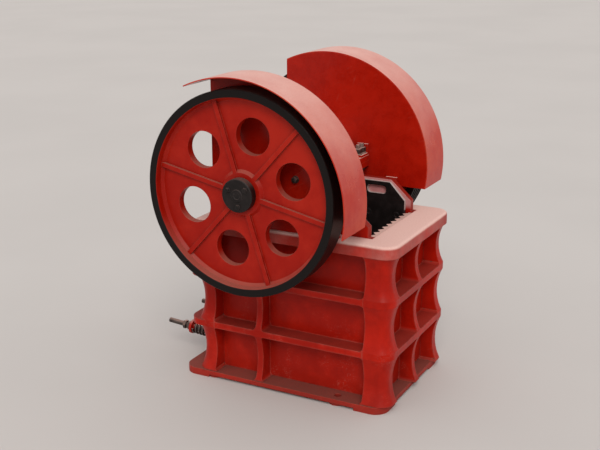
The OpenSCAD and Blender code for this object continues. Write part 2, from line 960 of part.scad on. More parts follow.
module toggle_plate() {
    r = toggle_t / 2;
    color(steel)
        translate([0, seat[0], seat[1]])
            rotate([toggle_dir, 0, 0])
                across(-toggle_half_w, toggle_half_w)
                    for (y = [-toggle_len + r, -r])
                        translate([y, 0])
                            circle(r);
    color(steel)
        translate([0, seat[0], seat[1]])
            rotate([toggle_dir, 0, 0])
                block([-toggle_half_w, -toggle_len + r, -r], [toggle_half_w, -r, r]);
}

module toggle_block() {
    r = toggle_t / 2 + touch;
    color(red)
        difference() {
            block([-mouth_half_w, seat[0] - toggle_t / 2, seat[1] - seat_block_low],
                [mouth_half_w, rear_inner_y, seat[1] + seat_block_high]);
            translate([0, seat[0], seat[1]])
                rotate([toggle_dir, 0, 0])
                    across(-mouth_half_w - 1, mouth_half_w + 1) {
                        translate([-r + touch, 0])
                            circle(r);
                        translate([-seat_depth, -r])
                            square([seat_depth - r + touch, 2 * r]);
                    }
        }
}

// Both tension rods' centre lines, from the eye under the swing jaw's heel to the rear
module rod_lines() {
    for (x = [-rod_x, rod_x])
        translate([x, pin[0], pin[1] - throw])
            rotate([-90 + rod_tilt, 0, 0])
                children();
}

// Distance along a rod from its eye to a place along the machine
function rod_at(y) = (y - pin[0]) / cos(rod_tilt);

module tension_rods() {
    cup = rod_at(rear_wall_y + spring_len);
    nut_h = rod_d - edge;
    color(black) {
        rod_lines() {
            translate([0, 0, rod_eye_r + eye_neck])
                cylinder(d = rod_d, h = rod_at(rear_wall_y + rod_tail) - rod_eye_r - eye_neck);
            translate([0, 0, cup])
                cylinder(r = spring_r + edge, h = rod_d / 2);
            translate([0, 0, cup + rod_d / 2])
                cylinder(d = rod_d * 1.8, h = nut_h, $fn = 6);
        }
    }
}

// Eye nuts on the front ends of the rods
module rod_eyes() {
    color(black) {
        for (x = [-rod_x, rod_x])
            across(x - rod_eye_w / 2, x + rod_eye_w / 2)
                translate([pin[0], pin[1] - throw])
                    difference() {
                        circle(rod_eye_r);
                        circle(rod_eye_hole_r);
                    }
        rod_lines()
            translate([0, 0, rod_eye_r - rod_d / 4])
                cylinder(d = rod_d * 1.4, h = eye_neck + rod_d / 4, $fn = 6);
    }
}

// A coil of round wire about z, standing on z = 0
module coil(mid_r, wire_d, length, turns) {
    sides = 6;
    steps = 12;
    n = turns * steps;
    points = [for (i = [0 : n], j = [0 : sides - 1])
        let (a = 360 * i / steps, b = 360 * (j + 0.5) / sides, r = mid_r + wire_d / 2 * cos(b))
            [r * cos(a), r * sin(a), wire_d / 2 * (1 + sin(b)) + (length - wire_d) * i / n]];
    skin = [for (i = [0 : n - 1], j = [0 : sides - 1])
        [i * sides + j, i * sides + (j + 1) % sides,
            (i + 1) * sides + (j + 1) % sides, (i + 1) * sides + j]];
    start = [for (j = [0 : sides - 1]) sides - 1 - j];
    finish = [for (j = [0 : sides - 1]) n * sides + j];
    polyhedron(points, concat([start, finish], skin));
}

module tension_springs() {
    start = rod_at(rear_wall_y) + spring_r * tan(rod_tilt) + touch;
    color(steel)
        rod_lines()
            translate([0, 0, start])
                coil(spring_r - spring_wire_d / 2, spring_wire_d,
                    rod_at(rear_wall_y + spring_len) - start, spring_turns);
}

// Outline of a guard in (y, z): a curve cut off upright at the rear and level below
module guard_outline(r) {
    intersection() {
        translate([axis_y, guard_z])
            circle(r, $fn = 180);
        translate([axis_y - r - 1, guard_low_z])
            square([guard_rear + r + 1, 2 * r]);
    }
}

module guard_plate(x) {
    across(x, x + guard_t)
        difference() {
            guard_outline(guard_r - guard_t);
            translate([axis_y, axis_z])
                circle(guard_hole_r);
            translate([axis_y - guard_hole_r, guard_low_z - 1])
                square([2 * guard_hole_r, axis_z - guard_low_z + 1]);
            translate([axis_y, guard_low_z - 1])
                square([guard_r, guard_cut_h + 1]);
        }
}

module guard_band(x0, x1) {
    across(x0, x1)
        difference() {
            guard_outline(guard_r);
            translate([axis_y, guard_z])
                circle(guard_r - guard_t, $fn = 180);
        }
}

module right_guard_plate() {
    color(dark_red)
        guard_plate(housing_x);
}

module left_guard_plate() {
    color(dark_red)
        mirror([1, 0, 0])
            guard_plate(left_guard_x);
}

module right_guard_band() {
    color(red)
        guard_band(housing_x, pulley_outer + right_guard_lip);
}

module left_guard_band() {
    color(red)
        mirror([1, 0, 0])
            guard_band(left_guard_x, flywheel_outer + left_guard_lip);
}

// An angle in (x, z) that lies on z from x0 to x1 and turns up at x1 to the height top
module angle_outline(x0, x1, z, top) {
    polygon([[x0, z], [x1, z], [x1, top], [x1 - bracket_t, top],
        [x1 - bracket_t, z + bracket_t], [x0, z + bracket_t]]);
}

// A bracket from the deck and two straps from the bearing's split flange to a guard's plate
module guard_bracket(x) {
    foot_y = axis_y - bracket_ahead;
    flange_top = axis_z + flange_t;
    along(foot_y - bracket_w / 2, foot_y + bracket_w / 2)
        angle_outline(x - bracket_foot, x, deck_top, guard_low_z + bracket_lap);
    for (y = [-1, 1] * (flange_half_len - bracket_w / 2 - edge))
        along(axis_y + y - bracket_w / 2, axis_y + y + bracket_w / 2)
            angle_outline(mouth_half_w + 2 * blend, x, flange_top, flange_top + bracket_t + bracket_lap);
}

module right_guard_bracket() {
    color(steel)
        guard_bracket(housing_x);
}

module left_guard_bracket() {
    color(steel)
        mirror([1, 0, 0])
            guard_bracket(left_guard_x);
}

module lifting_eye() {
    middle = eccentric_z + barrel_r + eye_d / 2 + touch;
    ring_r = (eye_d + eye_hole_d) / 4;
    color(red)
        difference() {
            translate([0, axis_y, 0]) {
                translate([0, 0, middle])
                    rotate([90, 0, 0])
                        rotate_extrude()
                            translate([ring_r, 0])
                                circle((eye_d - eye_hole_d) / 4);
                translate([0, 0, eccentric_z])
                    cylinder(r = eye_shank_r, h = middle - ring_r - eccentric_z);
            }
            shaft_line(eccentric_z)
                cylinder(r = barrel_r, h = 4 * eye_shank_r, center = true);
        }
}

base_flange();
front_wall();
left_wall();
right_wall();
rear_wall();
front_left_post();
front_right_post();
rear_left_post();
rear_right_post();
deck_plate();
fixed_jaw_plate();
left_liner();
right_liner();
left_bearing_base();
right_bearing_base();
left_bearing_cap();
right_bearing_cap();
left_bearing();
right_bearing();
toggle_block();
toggle_plate();
tension_rods();
rod_eyes();
tension_springs();
left_guard_plate();
right_guard_plate();
left_guard_band();
right_guard_band();
left_guard_bracket();
right_guard_bracket();
eccentric_shaft();
flywheel();
belt_pulley();
flywheel_cap();
pulley_cap();
swing_jaw();
rod_lugs();
barrel_rings();
moving_jaw_plate();
jaw_clamp();
lifting_eye();
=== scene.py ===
import math

import bmesh
import bpy
from bpy.props import FloatProperty, FloatVectorProperty, IntProperty, PointerProperty
from mathutils import Matrix, Vector


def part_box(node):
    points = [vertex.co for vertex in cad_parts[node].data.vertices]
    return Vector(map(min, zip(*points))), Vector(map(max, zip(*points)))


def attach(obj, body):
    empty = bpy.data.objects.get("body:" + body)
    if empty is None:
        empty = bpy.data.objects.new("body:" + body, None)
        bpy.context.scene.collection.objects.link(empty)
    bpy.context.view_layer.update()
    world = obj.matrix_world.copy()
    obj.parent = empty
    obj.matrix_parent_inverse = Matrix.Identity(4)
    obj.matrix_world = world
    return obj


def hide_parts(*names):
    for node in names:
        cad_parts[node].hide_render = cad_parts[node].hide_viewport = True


bl_info = {
    "name": "Jaw Crusher Dressing",
    "version": (1, 0, 0),
    "blender": (4, 5, 0),
    "location": "View3D > Sidebar > Crusher",
    "description": "Paints the castings of a small jaw crusher and adds its bolts, springs and covers",
    "category": "Object",
}

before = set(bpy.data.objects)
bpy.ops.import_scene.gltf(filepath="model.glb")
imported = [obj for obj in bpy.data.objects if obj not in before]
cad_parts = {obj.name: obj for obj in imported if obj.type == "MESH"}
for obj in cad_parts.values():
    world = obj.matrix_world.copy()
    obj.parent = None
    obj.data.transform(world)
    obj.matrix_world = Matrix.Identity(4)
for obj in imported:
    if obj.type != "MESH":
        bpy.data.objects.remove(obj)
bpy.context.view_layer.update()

# Places on the machine that the frame's boxes don't give, in metres and radians
AXIS_Y = 0.037
AXIS_Z = 0.647
ECCENTRIC_Z = 0.653
BARREL_R = 0.093
GUARD_Z = 0.636
DECK_TOP = 0.517
LINER_BACK_X = 0.151
RIM_PAINT_R = 0.2781
JAW_FOOT = Vector((0.0, -0.238, 0.090))
JAW_TILT = math.radians(20.9)
CLAMP_BOLTS_X = (-0.059, 0.059)
NIPPLES_X = (-0.168, 0.168)

# The bearings' split flange, its studs, the brackets and the bolts of the guards
FLANGE_T = 0.018
BRACKET_T = 0.007
STUDS_X = (0.179, 0.207)
STUD_INSET = 0.021
LOWER_BOLTS_Y = (-0.2045, -0.1855)
LOWER_BOLTS_Z = 0.588
UPPER_BOLTS_Y = (-0.092, 0.166)
UPPER_BOLTS_Z = 0.685
FOOT_BOLTS_Y = (-0.203, -0.187)
FOOT_BOLTS_X = {"left": 0.217, "right": 0.194}
LINER_SCREWS = ((-0.245, 0.500), (-0.150, 0.500), (-0.245, 0.350), (-0.175, 0.350))

# Small fasteners: widths across flats, and the circles that they stand on
SMALL_BOLT = 0.013
SMALL_SCREW = 0.010
SMALL_WASHER_R = 0.0085
CAP_BOLTS_R = 0.033
COVER_SCREWS_R = 0.0585

# The tension rods, from the eye to the thread, and their springs
RODS_X = (-0.100, 0.100)
ROD_TILT = math.radians(4.2)
ROD_EYE = Vector((0.0, -0.058, 0.065))
ROD_OUT = Vector((0.0, math.cos(ROD_TILT), math.sin(ROD_TILT)))
CUP_START_Y = 0.3605
CUP_END_Y = 0.3790
THREAD_Y = 0.388
LOCK_NUT_Y = 0.3935
SPRING_START = 0.242
SPRING_END = 0.365
SPRING_MEAN_R = 0.0175
SPRING_WIRE_R = 0.0035
SPRING_TURNS = 9
SPRING_STEPS = 28

# The weld bead in the corner of a guard, from the plate's face and the band, and where it ends
BEAD_R = 0.0026
BEAD_OFF_PLATE = 0.0016
BEAD_OFF_BAND = 0.0034
BEAD_FIRST = math.radians(190.2)
BEAD_LAST = math.radians(64.6)

SIDES = (("left", -1.0), ("right", 1.0))
UP = (0, 0, 1)
DOWN = (0, 0, -1)
QUARTER_TURN_X = Matrix.Rotation(math.radians(90.0), 4, "X")
QUARTER_TURN_Y = Matrix.Rotation(math.radians(90.0), 4, "Y")
QUARTER_TURN_Z = Matrix.Rotation(math.radians(90.0), 4, "Z")

# Faces that meet at more than this many degrees keep a sharp edge, on turned and on wound pieces
SHARP_CREASE = 32.0
SOFT_CREASE = 60.0


def from_srgb(red, green, blue):
    """A colour as written in a picture, 0 to 255, in the linear values that a shader takes."""
    def straight(value):
        value /= 255.0
        return value / 12.92 if value <= 0.04045 else ((value + 0.055) / 1.055) ** 2.4
    return (straight(red), straight(green), straight(blue), 1.0)


# Sizes and colours

COLOUR = {"subtype": "COLOR", "size": 4, "min": 0.0, "max": 1.0}
WIDTH = {"subtype": "DISTANCE", "unit": "LENGTH"}
POINT = {"subtype": "TRANSLATION", "unit": "LENGTH", "size": 3}


class CrusherColours(bpy.types.PropertyGroup):
    """Colours of the paint, the dust and the bare metal"""

    enamel: FloatVectorProperty(
        name="Enamel", description="Red enamel where it is clean", default=from_srgb(184, 27, 8), **COLOUR)
    enamel_deep: FloatVectorProperty(
        name="Deep enamel", description="Red enamel where it is thick or old",
        default=from_srgb(154, 18, 4), **COLOUR)
    guard_enamel: FloatVectorProperty(
        name="Guard enamel", description="Red enamel of the rolled guards",
        default=from_srgb(198, 62, 38), **COLOUR)
    dust: FloatVectorProperty(
        name="Dust", description="Pale dust on level faces", default=from_srgb(224, 182, 168), **COLOUR)
    # This dark colour also darkens corners as painted shade.
    grime_and_shade: FloatVectorProperty(
        name="Grime", description="Dark dirt in corners", default=from_srgb(74, 22, 16), **COLOUR)
    black_paint: FloatVectorProperty(
        name="Black paint", description="Black paint of rims, caps and liners",
        default=from_srgb(20, 15, 14), **COLOUR)
    jaw_steel: FloatVectorProperty(
        name="Jaw steel", description="Cast steel of the jaw plates",
        default=from_srgb(36, 31, 30), **COLOUR)
    bare_steel: FloatVectorProperty(
        name="Bare steel", description="Turned and rolled steel",
        default=from_srgb(128, 122, 118), **COLOUR)


class CrusherSizes(bpy.types.PropertyGroup):
    """Sizes of the fasteners and fittings"""

    stud_nut: FloatProperty(
        name="Stud nut", description="Width of the bearing cap nuts across flats",
        min=0.016, max=0.030, default=0.024, **WIDTH)
    guard_bolt: FloatProperty(
        name="Guard bolt", description="Width of the guard bolts across flats",
        min=0.010, max=0.022, default=0.017, **WIDTH)
    clamp_bolt: FloatProperty(
        name="Clamp bolt", description="Width of the clamp bolts across flats",
        min=0.018, max=0.034, default=0.028, **WIDTH)
    rod_nut: FloatProperty(
        name="Rod nut", description="Width of the tension rod nuts across flats",
        min=0.020, max=0.032, default=0.026, **WIDTH)
    cap_bolts: IntProperty(
        name="Cap bolts", description="Bolts round each end cap", min=3, max=8, default=3)
    cover_screws: IntProperty(
        name="Cover screws", description="Screws round each bearing cover", min=4, max=10, default=6)


class CrusherStage(bpy.types.PropertyGroup):
    """Floor, lamps and camera"""

    camera_place: FloatVectorProperty(
        name="Camera place", description="Where the picture was taken from",
        default=(-2.803, -1.442, 1.425), **POINT)
    camera_aim: FloatVectorProperty(
        name="Camera aim", description="Point at the middle of the picture",
        default=(-0.005, 0.020, 0.470), **POINT)
    lens: FloatProperty(
        name="Lens", description="Focal length on a 36 mm wide picture, in millimetres",
        min=20.0, max=120.0, default=63.0)
    sky: FloatProperty(
        name="Sky", description="Strength of the even light from all round", min=0.0, max=2.0, default=0.76)
    sun: FloatProperty(
        name="Sun", description="Strength of the broad lamp", min=0.0, max=5.0, default=1.32)
    floor: FloatVectorProperty(
        name="Floor", description="Colour of the floor", default=from_srgb(205, 197, 191), **COLOUR)
    horizon: FloatVectorProperty(
        name="Horizon", description="Colour behind the floor", default=from_srgb(212, 206, 201), **COLOUR)


GROUPS = (("crusher_colours", CrusherColours), ("crusher_sizes", CrusherSizes),
          ("crusher_stage", CrusherStage))


def colour_of(name):
    """One of the user's colours."""
    return tuple(getattr(bpy.context.scene.crusher_colours, name))


def sizes():
    """The user's sizes."""
    return bpy.context.scene.crusher_sizes


# Shader sums


class Num:
    """A number at a socket, for use in ordinary sums."""

    def __init__(self, finish, socket):
        self.finish = finish
        self.socket = socket

    def _sum(self, operation, first, second, clamp=False):
        node = self.finish.node("ShaderNodeMath", {"operation": operation, "use_clamp": clamp},
                                {0: first, 1: second})
        return Num(self.finish, node.outputs[0])

    def __add__(self, other):
        return self._sum("ADD", self, other)

    __radd__ = __add__

    def __sub__(self, other):
        return self._sum("SUBTRACT", self, other)

    def __rsub__(self, other):
        return self._sum("SUBTRACT", other, self)

    def __mul__(self, other):
        return self._sum("MULTIPLY", self, other)

    __rmul__ = __mul__

    def __abs__(self):
        return self._sum("ABSOLUTE", self, 0.0)

    def clipped(self):
        """The number held between 0 and 1."""
        return self._sum("ADD", self, 0.0, clamp=True)

    def higher_of(self, other):
        return self._sum("MAXIMUM", self, other)

    def ramp(self, start, end, low=0.0, high=1.0):
        """Goes smoothly from low to high while the number goes from start to end."""
        node = self.finish.node("ShaderNodeMapRange", {"interpolation_type": "SMOOTHSTEP"},
                                {0: self, 1: start, 2: end, 3: low, 4: high})
        return Num(self.finish, node.outputs[0])


class Nodes:
    """The nodes of a material or of the sky."""

    def __init__(self, owner):
        owner.use_nodes = True
        self.tree = owner.node_tree
        self.tree.nodes.clear()

    def node(self, kind, settings=None, sockets=None):
        """Adds a node of a kind, sets its settings, then the values or links of its sockets."""
        made = self.tree.nodes.new(kind)
        for key, value in (settings or {}).items():
            setattr(made, key, value)
        for key, value in (sockets or {}).items():
            if isinstance(value, Num):
                value = value.socket
            if isinstance(value, bpy.types.NodeSocket):
                self.tree.links.new(value, made.inputs[key])
            else:
                made.inputs[key].default_value = value
        return made


class Finish(Nodes):
    """A material under construction."""

    def __init__(self, name):
        self.material = bpy.data.materials.new(name)
        super().__init__(self.material)
        self.output = self.node("ShaderNodeOutputMaterial")
        coords = self.node("ShaderNodeTexCoord")
        self.place = coords.outputs["Object"]
        self.facing = coords.outputs["Normal"]

    def stretched(self, scale, turn=(0.0, 0.0, 0.0)):
        """The place on the piece, turned and then scaled in each direction."""
        turned_place = self.node("ShaderNodeMapping", {}, {0: self.place, 2: turn}).outputs[0]
        return self.node("ShaderNodeMapping", {}, {0: turned_place, 3: scale}).outputs[0]

    def noise(self, scale, detail=3.0, rough=0.6, place=None):
        """Cloudy pattern about 0.5, scale in features a metre."""
        sockets = {"Vector": place or self.place, "Scale": scale, "Detail": detail, "Roughness": rough}
        return Num(self, self.node("ShaderNodeTexNoise", {}, sockets).outputs[0])

    def cells(self, scale):
        """Distance from the middles of scattered cells."""
        node = self.node("ShaderNodeTexVoronoi", {}, {"Vector": self.place, "Scale": scale})
        return Num(self, node.outputs["Distance"])

    def part_of(self, vector, axis):
        """The part of a vector along X, Y or Z."""
        node = self.node("ShaderNodeSeparateXYZ", {}, {0: vector})
        return Num(self, node.outputs["XYZ".index(axis)])

    def vectors(self, operation, *values):
        """What comes out of a sum with vectors."""
        return self.node("ShaderNodeVectorMath", {"operation": operation}, dict(enumerate(values))).outputs

    def axis_distance(self, y, z):
        """Distance from a line along X through y and z."""
        shifted = self.vectors("SUBTRACT", self.place, (0.0, y, z))[0]
        flat = self.vectors("MULTIPLY", shifted, (0.0, 1.0, 1.0))[0]
        return Num(self, self.vectors("LENGTH", flat)["Value"])

    def rounded_facing(self, radius):
        """The direction a face looks in, turned over at its edges."""
        return self.node("ShaderNodeBevel", {"samples": 6}, {0: radius}).outputs[0]

    def edge(self, radius):
        """1 at sharp edges and 0 on flat faces."""
        flat = self.node("ShaderNodeNewGeometry").outputs["Normal"]
        likeness = Num(self, self.vectors("DOT_PRODUCT", self.rounded_facing(radius), flat)["Value"])
        return (1.0 - likeness).ramp(0.01, 0.16)

    def corner(self, distance):
        """1 deep in a corner and 0 on open faces."""
        node = self.node("ShaderNodeAmbientOcclusion", {"samples": 6, "only_local": False},
                         {"Distance": distance})
        return (1.0 - Num(self, node.outputs["AO"])).ramp(0.15, 0.85)

    def mixed(self, amount, first, second):
        """A colour between two, by an amount."""
        sockets = {0: amount, 6: first, 7: second}
        return self.node("ShaderNodeMix", {"data_type": "RGBA"}, sockets).outputs[2]

    def bumped(self, height, depth, strength, radius):
        """The direction a face looks in, turned over at its edges and disturbed by a height."""
        sockets = {"Height": height, "Distance": depth, "Strength": strength,
                   "Normal": self.rounded_facing(radius)}
        return self.node("ShaderNodeBump", {}, sockets).outputs[0]

    def shader(self, colour, roughness, metallic=0.0, facing=None, gloss=0.22, coat=0.0, coat_rough=0.2):
        """Closes the material with a surface of these values."""
        sockets = {"Base Color": colour, "Roughness": roughness, "Metallic": metallic,
                   "Specular IOR Level": gloss, "Coat Weight": coat, "Coat Roughness": coat_rough}
        if facing is not None:
            sockets["Normal"] = facing
        made = self.node("ShaderNodeBsdfPrincipled", {}, sockets)
        self.tree.links.new(made.outputs[0], self.output.inputs[0])
        return self.material


# Tones of dust and wear, and of painted sheen, highlight and shade

DECK_DUST = from_srgb(232, 190, 177)
BAND_DUST_AND_SHEEN = from_srgb(243, 202, 188)
PLATE_DUST = from_srgb(236, 196, 186)
FRAME_DUST = from_srgb(118, 56, 46)
BASE_DUST = from_srgb(118, 72, 62)
SPLASHED_SPECK = from_srgb(186, 140, 126)
RIDGE_DUST_AND_HIGHLIGHT = from_srgb(150, 84, 76)
CHEEK_RIM = from_srgb(138, 26, 14)
LINER_FILM = from_srgb(206, 158, 156)
RUBBED_AND_HIGHLIT_ENAMEL = from_srgb(220, 104, 80)
SCUFFED_ENAMEL = from_srgb(216, 120, 102)
CHIPPED_ENAMEL = from_srgb(92, 74, 68)
SHADED_PLATE_ENAMEL = from_srgb(176, 27, 10)
WHEEL_ENAMEL = from_srgb(172, 32, 15)
WHEEL_DUST = from_srgb(162, 94, 80)
RUBBED_AND_HIGHLIT_WHEEL = from_srgb(206, 120, 104)
RIM_DUST = from_srgb(120, 100, 94)
RUBBED_AND_HIGHLIT_RIM = from_srgb(108, 98, 96)
FADED_BLACK = from_srgb(34, 27, 26)
BLACK_DUST = from_srgb(150, 122, 112)
LINER_RIM = from_srgb(196, 178, 172)
RUBBED_AND_HIGHLIT_BLACK = from_srgb(132, 118, 114)
JAW_SCALE = from_srgb(58, 47, 43)
WORN_AND_HIGHLIT_CREST = from_srgb(150, 142, 140)
CLAMP_STEEL = from_srgb(74, 66, 65)
CLAMP_LIGHT = from_srgb(104, 92, 88)
DULL_STEEL = from_srgb(92, 84, 80)
RUST = from_srgb(112, 66, 42)
BOLT_STEEL = from_srgb(78, 70, 67)
SPRING_STEEL = from_srgb(104, 94, 90)
ROD_STEEL = from_srgb(62, 54, 52)
ROD_LIGHT = from_srgb(96, 84, 78)


# Finishes


def dusted(finish, colour, start, full, most, dust=None, low_splash=0.0):
    """Lays dust on faces that look up, and splashed dirt near the floor. Gives colour and dust amount."""
    cloud = finish.noise(9.0, detail=4.0)
    grit = finish.noise(240.0, detail=2.0)
    up = finish.part_of(finish.facing, "Z")
    level = (up + (cloud - 0.5) * 0.5).ramp(start, full)
    amount = level * most * (0.72 + grit * 0.5)
    if low_splash:
        height = finish.part_of(finish.place, "Z")
        splash = (height + (cloud - 0.5) * 0.25).ramp(0.22, 0.0)
        amount = amount.higher_of(splash * low_splash * (0.4 + grit))
        size = finish.noise(90.0, detail=2.0, rough=0.5) * 0.6
        flock = finish.noise(14.0).ramp(0.48, 0.66)
        specks = (finish.cells(210.0) - size).ramp(0.02, -0.08) * flock * height.ramp(0.40, 0.05)
        colour = finish.mixed(specks * 0.2, colour, SPLASHED_SPECK)
    amount = amount.clipped()
    return finish.mixed(amount, colour, dust or colour_of("dust")), amount


def rim_faces(finish):
    """1 on the narrow faces of upright plates that stand above the deck."""
    height = finish.part_of(finish.place, "Z").ramp(DECK_TOP + 0.001, DECK_TOP + 0.007)
    return height * abs(finish.part_of(finish.facing, "X")).ramp(0.7, 0.3)


def enamel(name, clean, deep, dust_start=0.35, dust_full=1.0, dust_most=0.8, dust=None, splash=0.0,
           cast=1.0, gloss=0.34, edge_radius=0.003, streaks=0.4, coat=0.02, cheek_rims=0.0, ridges=0.0,
           corner_shade=0.4, scuffs=0.0):
    """Red enamel on a casting or on sheet, with dust, runs, painted shade that darkens its corners, and
    edges lightened by wear and by a painted highlight.
    """
    finish = Finish(name)
    patch = finish.noise(3.2, detail=5.0)
    mottle = finish.noise(28.0)
    runs = finish.noise(1.0, detail=4.0, place=finish.stretched((34.0, 34.0, 3.0)))
    colour = finish.mixed((patch + (mottle - 0.5) * 0.4).ramp(0.35, 0.7), deep, clean)
    colour = finish.mixed(runs.ramp(0.55, 0.85) * streaks, colour, colour_of("grime_and_shade"))
    # Painted shade: the dark colour is mixed in where ambient occlusion finds a corner.
    corner = finish.corner(0.05)
    colour = finish.mixed(corner * corner_shade * (0.5 + mottle), colour, colour_of("grime_and_shade"))
    colour, settled = dusted(finish, colour, dust_start, dust_full, dust_most, dust, splash)
    # A pale mauve film on the rib edges: dust, and a painted highlight along the ribs.
    if ridges:
        ridge_patches = finish.noise(7.0, detail=4.0).ramp(0.3, 0.75)
        film = finish.edge(0.010) * ridge_patches * (0.4 + mottle) * ridges
        colour = finish.mixed(film, colour, RIDGE_DUST_AND_HIGHLIGHT)
    if cheek_rims:
        colour = finish.mixed(rim_faces(finish) * cheek_rims, colour, CHEEK_RIM)
        inside = abs(finish.part_of(finish.place, "X")).ramp(LINER_BACK_X + 0.0002, LINER_BACK_X - 0.0002)
        behind_liner = inside * finish.part_of(finish.place, "Z").ramp(DECK_TOP + 0.003, DECK_TOP + 0.023)
        colour = finish.mixed(behind_liner * (0.45 + mottle * 0.4), colour, LINER_FILM)
    edge = finish.edge(edge_radius)
    # Edges lightened: wear, and a painted highlight.
    rubbed_and_highlit = (edge * (mottle + 0.35)).ramp(0.45, 1.0)
    colour = finish.mixed(rubbed_and_highlit * 0.4, colour, RUBBED_AND_HIGHLIT_ENAMEL)
    if scuffs:
        drag = finish.noise(1.0, place=finish.stretched((9.0, 11.0, 260.0), turn=(0.5, 0.0, 0.0)))
        strike = finish.noise(1.0, place=finish.stretched((9.0, 210.0, 12.0), turn=(-0.35, 0.0, 0.0)))
        marks = drag.higher_of(strike).ramp(0.63, 0.75) * finish.noise(6.0).ramp(0.48, 0.7)
        colour = finish.mixed(marks * scuffs, colour, SCUFFED_ENAMEL)
    chip = edge.ramp(0.15, 0.7) * finish.noise(75.0).ramp(0.57, 0.61)
    colour = finish.mixed(chip * 0.75, colour, CHIPPED_ENAMEL)
    rough = (gloss + settled * 0.5 + (mottle - 0.5) * 0.14 + corner * 0.2).clipped()
    grain = finish.noise(310.0)
    height = grain * 0.4 * cast + mottle * 0.8 * cast + settled * 0.35 - chip * 0.8
    facing = finish.bumped(height, depth=0.0011, strength=0.55, radius=edge_radius)
    return finish.shader(colour, rough, facing=facing, gloss=0.13, coat=coat, coat_rough=0.18)


def wheel_finish(name):
    """Red web and spokes inside a black rim, with dust where the rest position lets it settle."""
    finish = Finish(name)
    patch = finish.noise(4.0, detail=5.0)
    mottle = finish.noise(30.0)
    radius = finish.axis_distance(AXIS_Y, AXIS_Z)
    red = finish.mixed((patch + (mottle - 0.5) * 0.4).ramp(0.35, 0.7),
                       colour_of("enamel_deep"), WHEEL_ENAMEL)
    # Painted shade: the dark colour darkens the web and spokes in corners, by ambient occlusion.
    corner = finish.corner(0.04)
    red = finish.mixed(corner * 0.5, red, colour_of("grime_and_shade"))
    red, settled = dusted(finish, red, start=0.25, full=0.95, most=0.8, dust=WHEEL_DUST)
    edge = finish.edge(0.002)
    # Edges of web and rim lightened: wear, and a painted highlight.
    red = finish.mixed((edge * (mottle + 0.3)).ramp(0.5, 1.0) * 0.5, red, RUBBED_AND_HIGHLIT_WHEEL)
    black, film = dusted(finish, colour_of("black_paint"), start=0.5, full=1.3, most=0.35,
                         dust=RIM_DUST)
    black = finish.mixed((edge * (mottle + 0.2)).ramp(0.5, 1.0) * 0.35, black, RUBBED_AND_HIGHLIT_RIM)
    rim = (radius + (mottle - 0.5) * 0.0016).ramp(RIM_PAINT_R - 0.0006, RIM_PAINT_R + 0.0006)
    colour = finish.mixed(rim, red, black)
    dull = settled * 0.45 * (1.0 - rim) + film * 0.3 * rim
    rough = (0.36 + dull + (mottle - 0.5) * 0.12 + rim * 0.06).clipped()
    tool_marks = finish.noise(1.0, detail=2.0, rough=0.5, place=finish.stretched((900.0, 40.0, 40.0)))
    grain = finish.noise(320.0)
    height = grain * 0.4 + mottle * 0.6 * (1.0 - rim) + tool_marks * 0.25 * rim
    facing = finish.bumped(height, depth=0.0009, strength=0.5, radius=0.002)
    return finish.shader(colour, rough, facing=facing, gloss=0.14, coat=0.03, coat_rough=0.2)


def black_finish(name, gloss=0.4, dust_most=0.45, pale_rims=0.0):
    """Black paint with a film of dust, and edges lightened by wear and by a painted highlight."""
    finish = Finish(name)
    mottle = finish.noise(40.0)
    grain = finish.noise(340.0)
    base = finish.mixed(mottle.ramp(0.3, 0.75), colour_of("black_paint"), FADED_BLACK)
    colour, settled = dusted(finish, base, start=0.4, full=1.1, most=dust_most, dust=BLACK_DUST)
    if pale_rims:
        pale = rim_faces(finish) * (0.6 + mottle * 0.5) * pale_rims
        colour = finish.mixed(pale, colour, LINER_RIM)
    edge = finish.edge(0.0015)
    # Edges lightened: wear, and a painted highlight.
    colour = finish.mixed((edge * (mottle + 0.35)).ramp(0.45, 1.0) * 0.5, colour, RUBBED_AND_HIGHLIT_BLACK)
    rough = (gloss + settled * 0.4 + (mottle - 0.5) * 0.2).clipped()
    facing = finish.bumped(grain * 0.5 + mottle * 0.5, depth=0.0008, strength=0.5, radius=0.0015)
    return finish.shader(colour, rough, facing=facing)


def jaw_finish(name, bright=0.35, tone=None, tone_light=JAW_SCALE):
    """Cast manganese steel: near black skin, rough, with crests brightened by wear and by a painted
    highlight.
    """
    finish = Finish(name)
    mottle = finish.noise(36.0, detail=4.0, rough=0.62)
    grain = finish.noise(260.0, rough=0.65)
    base = finish.mixed(mottle.ramp(0.35, 0.75), tone or colour_of("jaw_steel"), tone_light)
    edge = finish.edge(0.003)
    # Crests lightened: wear, and a painted highlight.
    base = finish.mixed((edge * (mottle + 0.3)).ramp(0.35, 0.9) * bright, base, WORN_AND_HIGHLIT_CREST)
    colour, settled = dusted(finish, base, start=0.55, full=1.05, most=0.95)
    rough = (0.5 + settled * 0.4 + (mottle - 0.5) * 0.3 - edge * 0.1).clipped()
    metal = (0.7 - settled * 0.7).clipped()
    facing = finish.bumped(grain * 0.7 + mottle, depth=0.0012, strength=0.6, radius=0.002)
    return finish.shader(colour, rough, metallic=metal, facing=facing)


def steel_finish(name, tone=None, rust=0.35, rough_base=0.38, dust_most=0.5):
    """Turned or rolled steel with an oily film, freckles of rust and some dust."""
    finish = Finish(name)
    mottle = finish.noise(55.0)
    fine = finish.noise(400.0, detail=2.0)
    base = finish.mixed(mottle.ramp(0.3, 0.7), tone or colour_of("bare_steel"), DULL_STEEL)
    freckle = (finish.noise(150.0, rough=0.7).ramp(0.52, 0.68) * rust).clipped()
    base = finish.mixed(freckle, base, RUST)
    colour, settled = dusted(finish, base, start=0.4, full=1.05, most=dust_most)
    rough = (rough_base + freckle * 0.35 + settled * 0.4 + (mottle - 0.5) * 0.2).clipped()
    metal = (0.9 - freckle * 0.7 - settled * 0.8).clipped()
    facing = finish.bumped(fine * 0.5 + mottle * 0.4, depth=0.0004, strength=0.6, radius=0.0008)
    return finish.shader(colour, rough, metallic=metal, facing=facing)


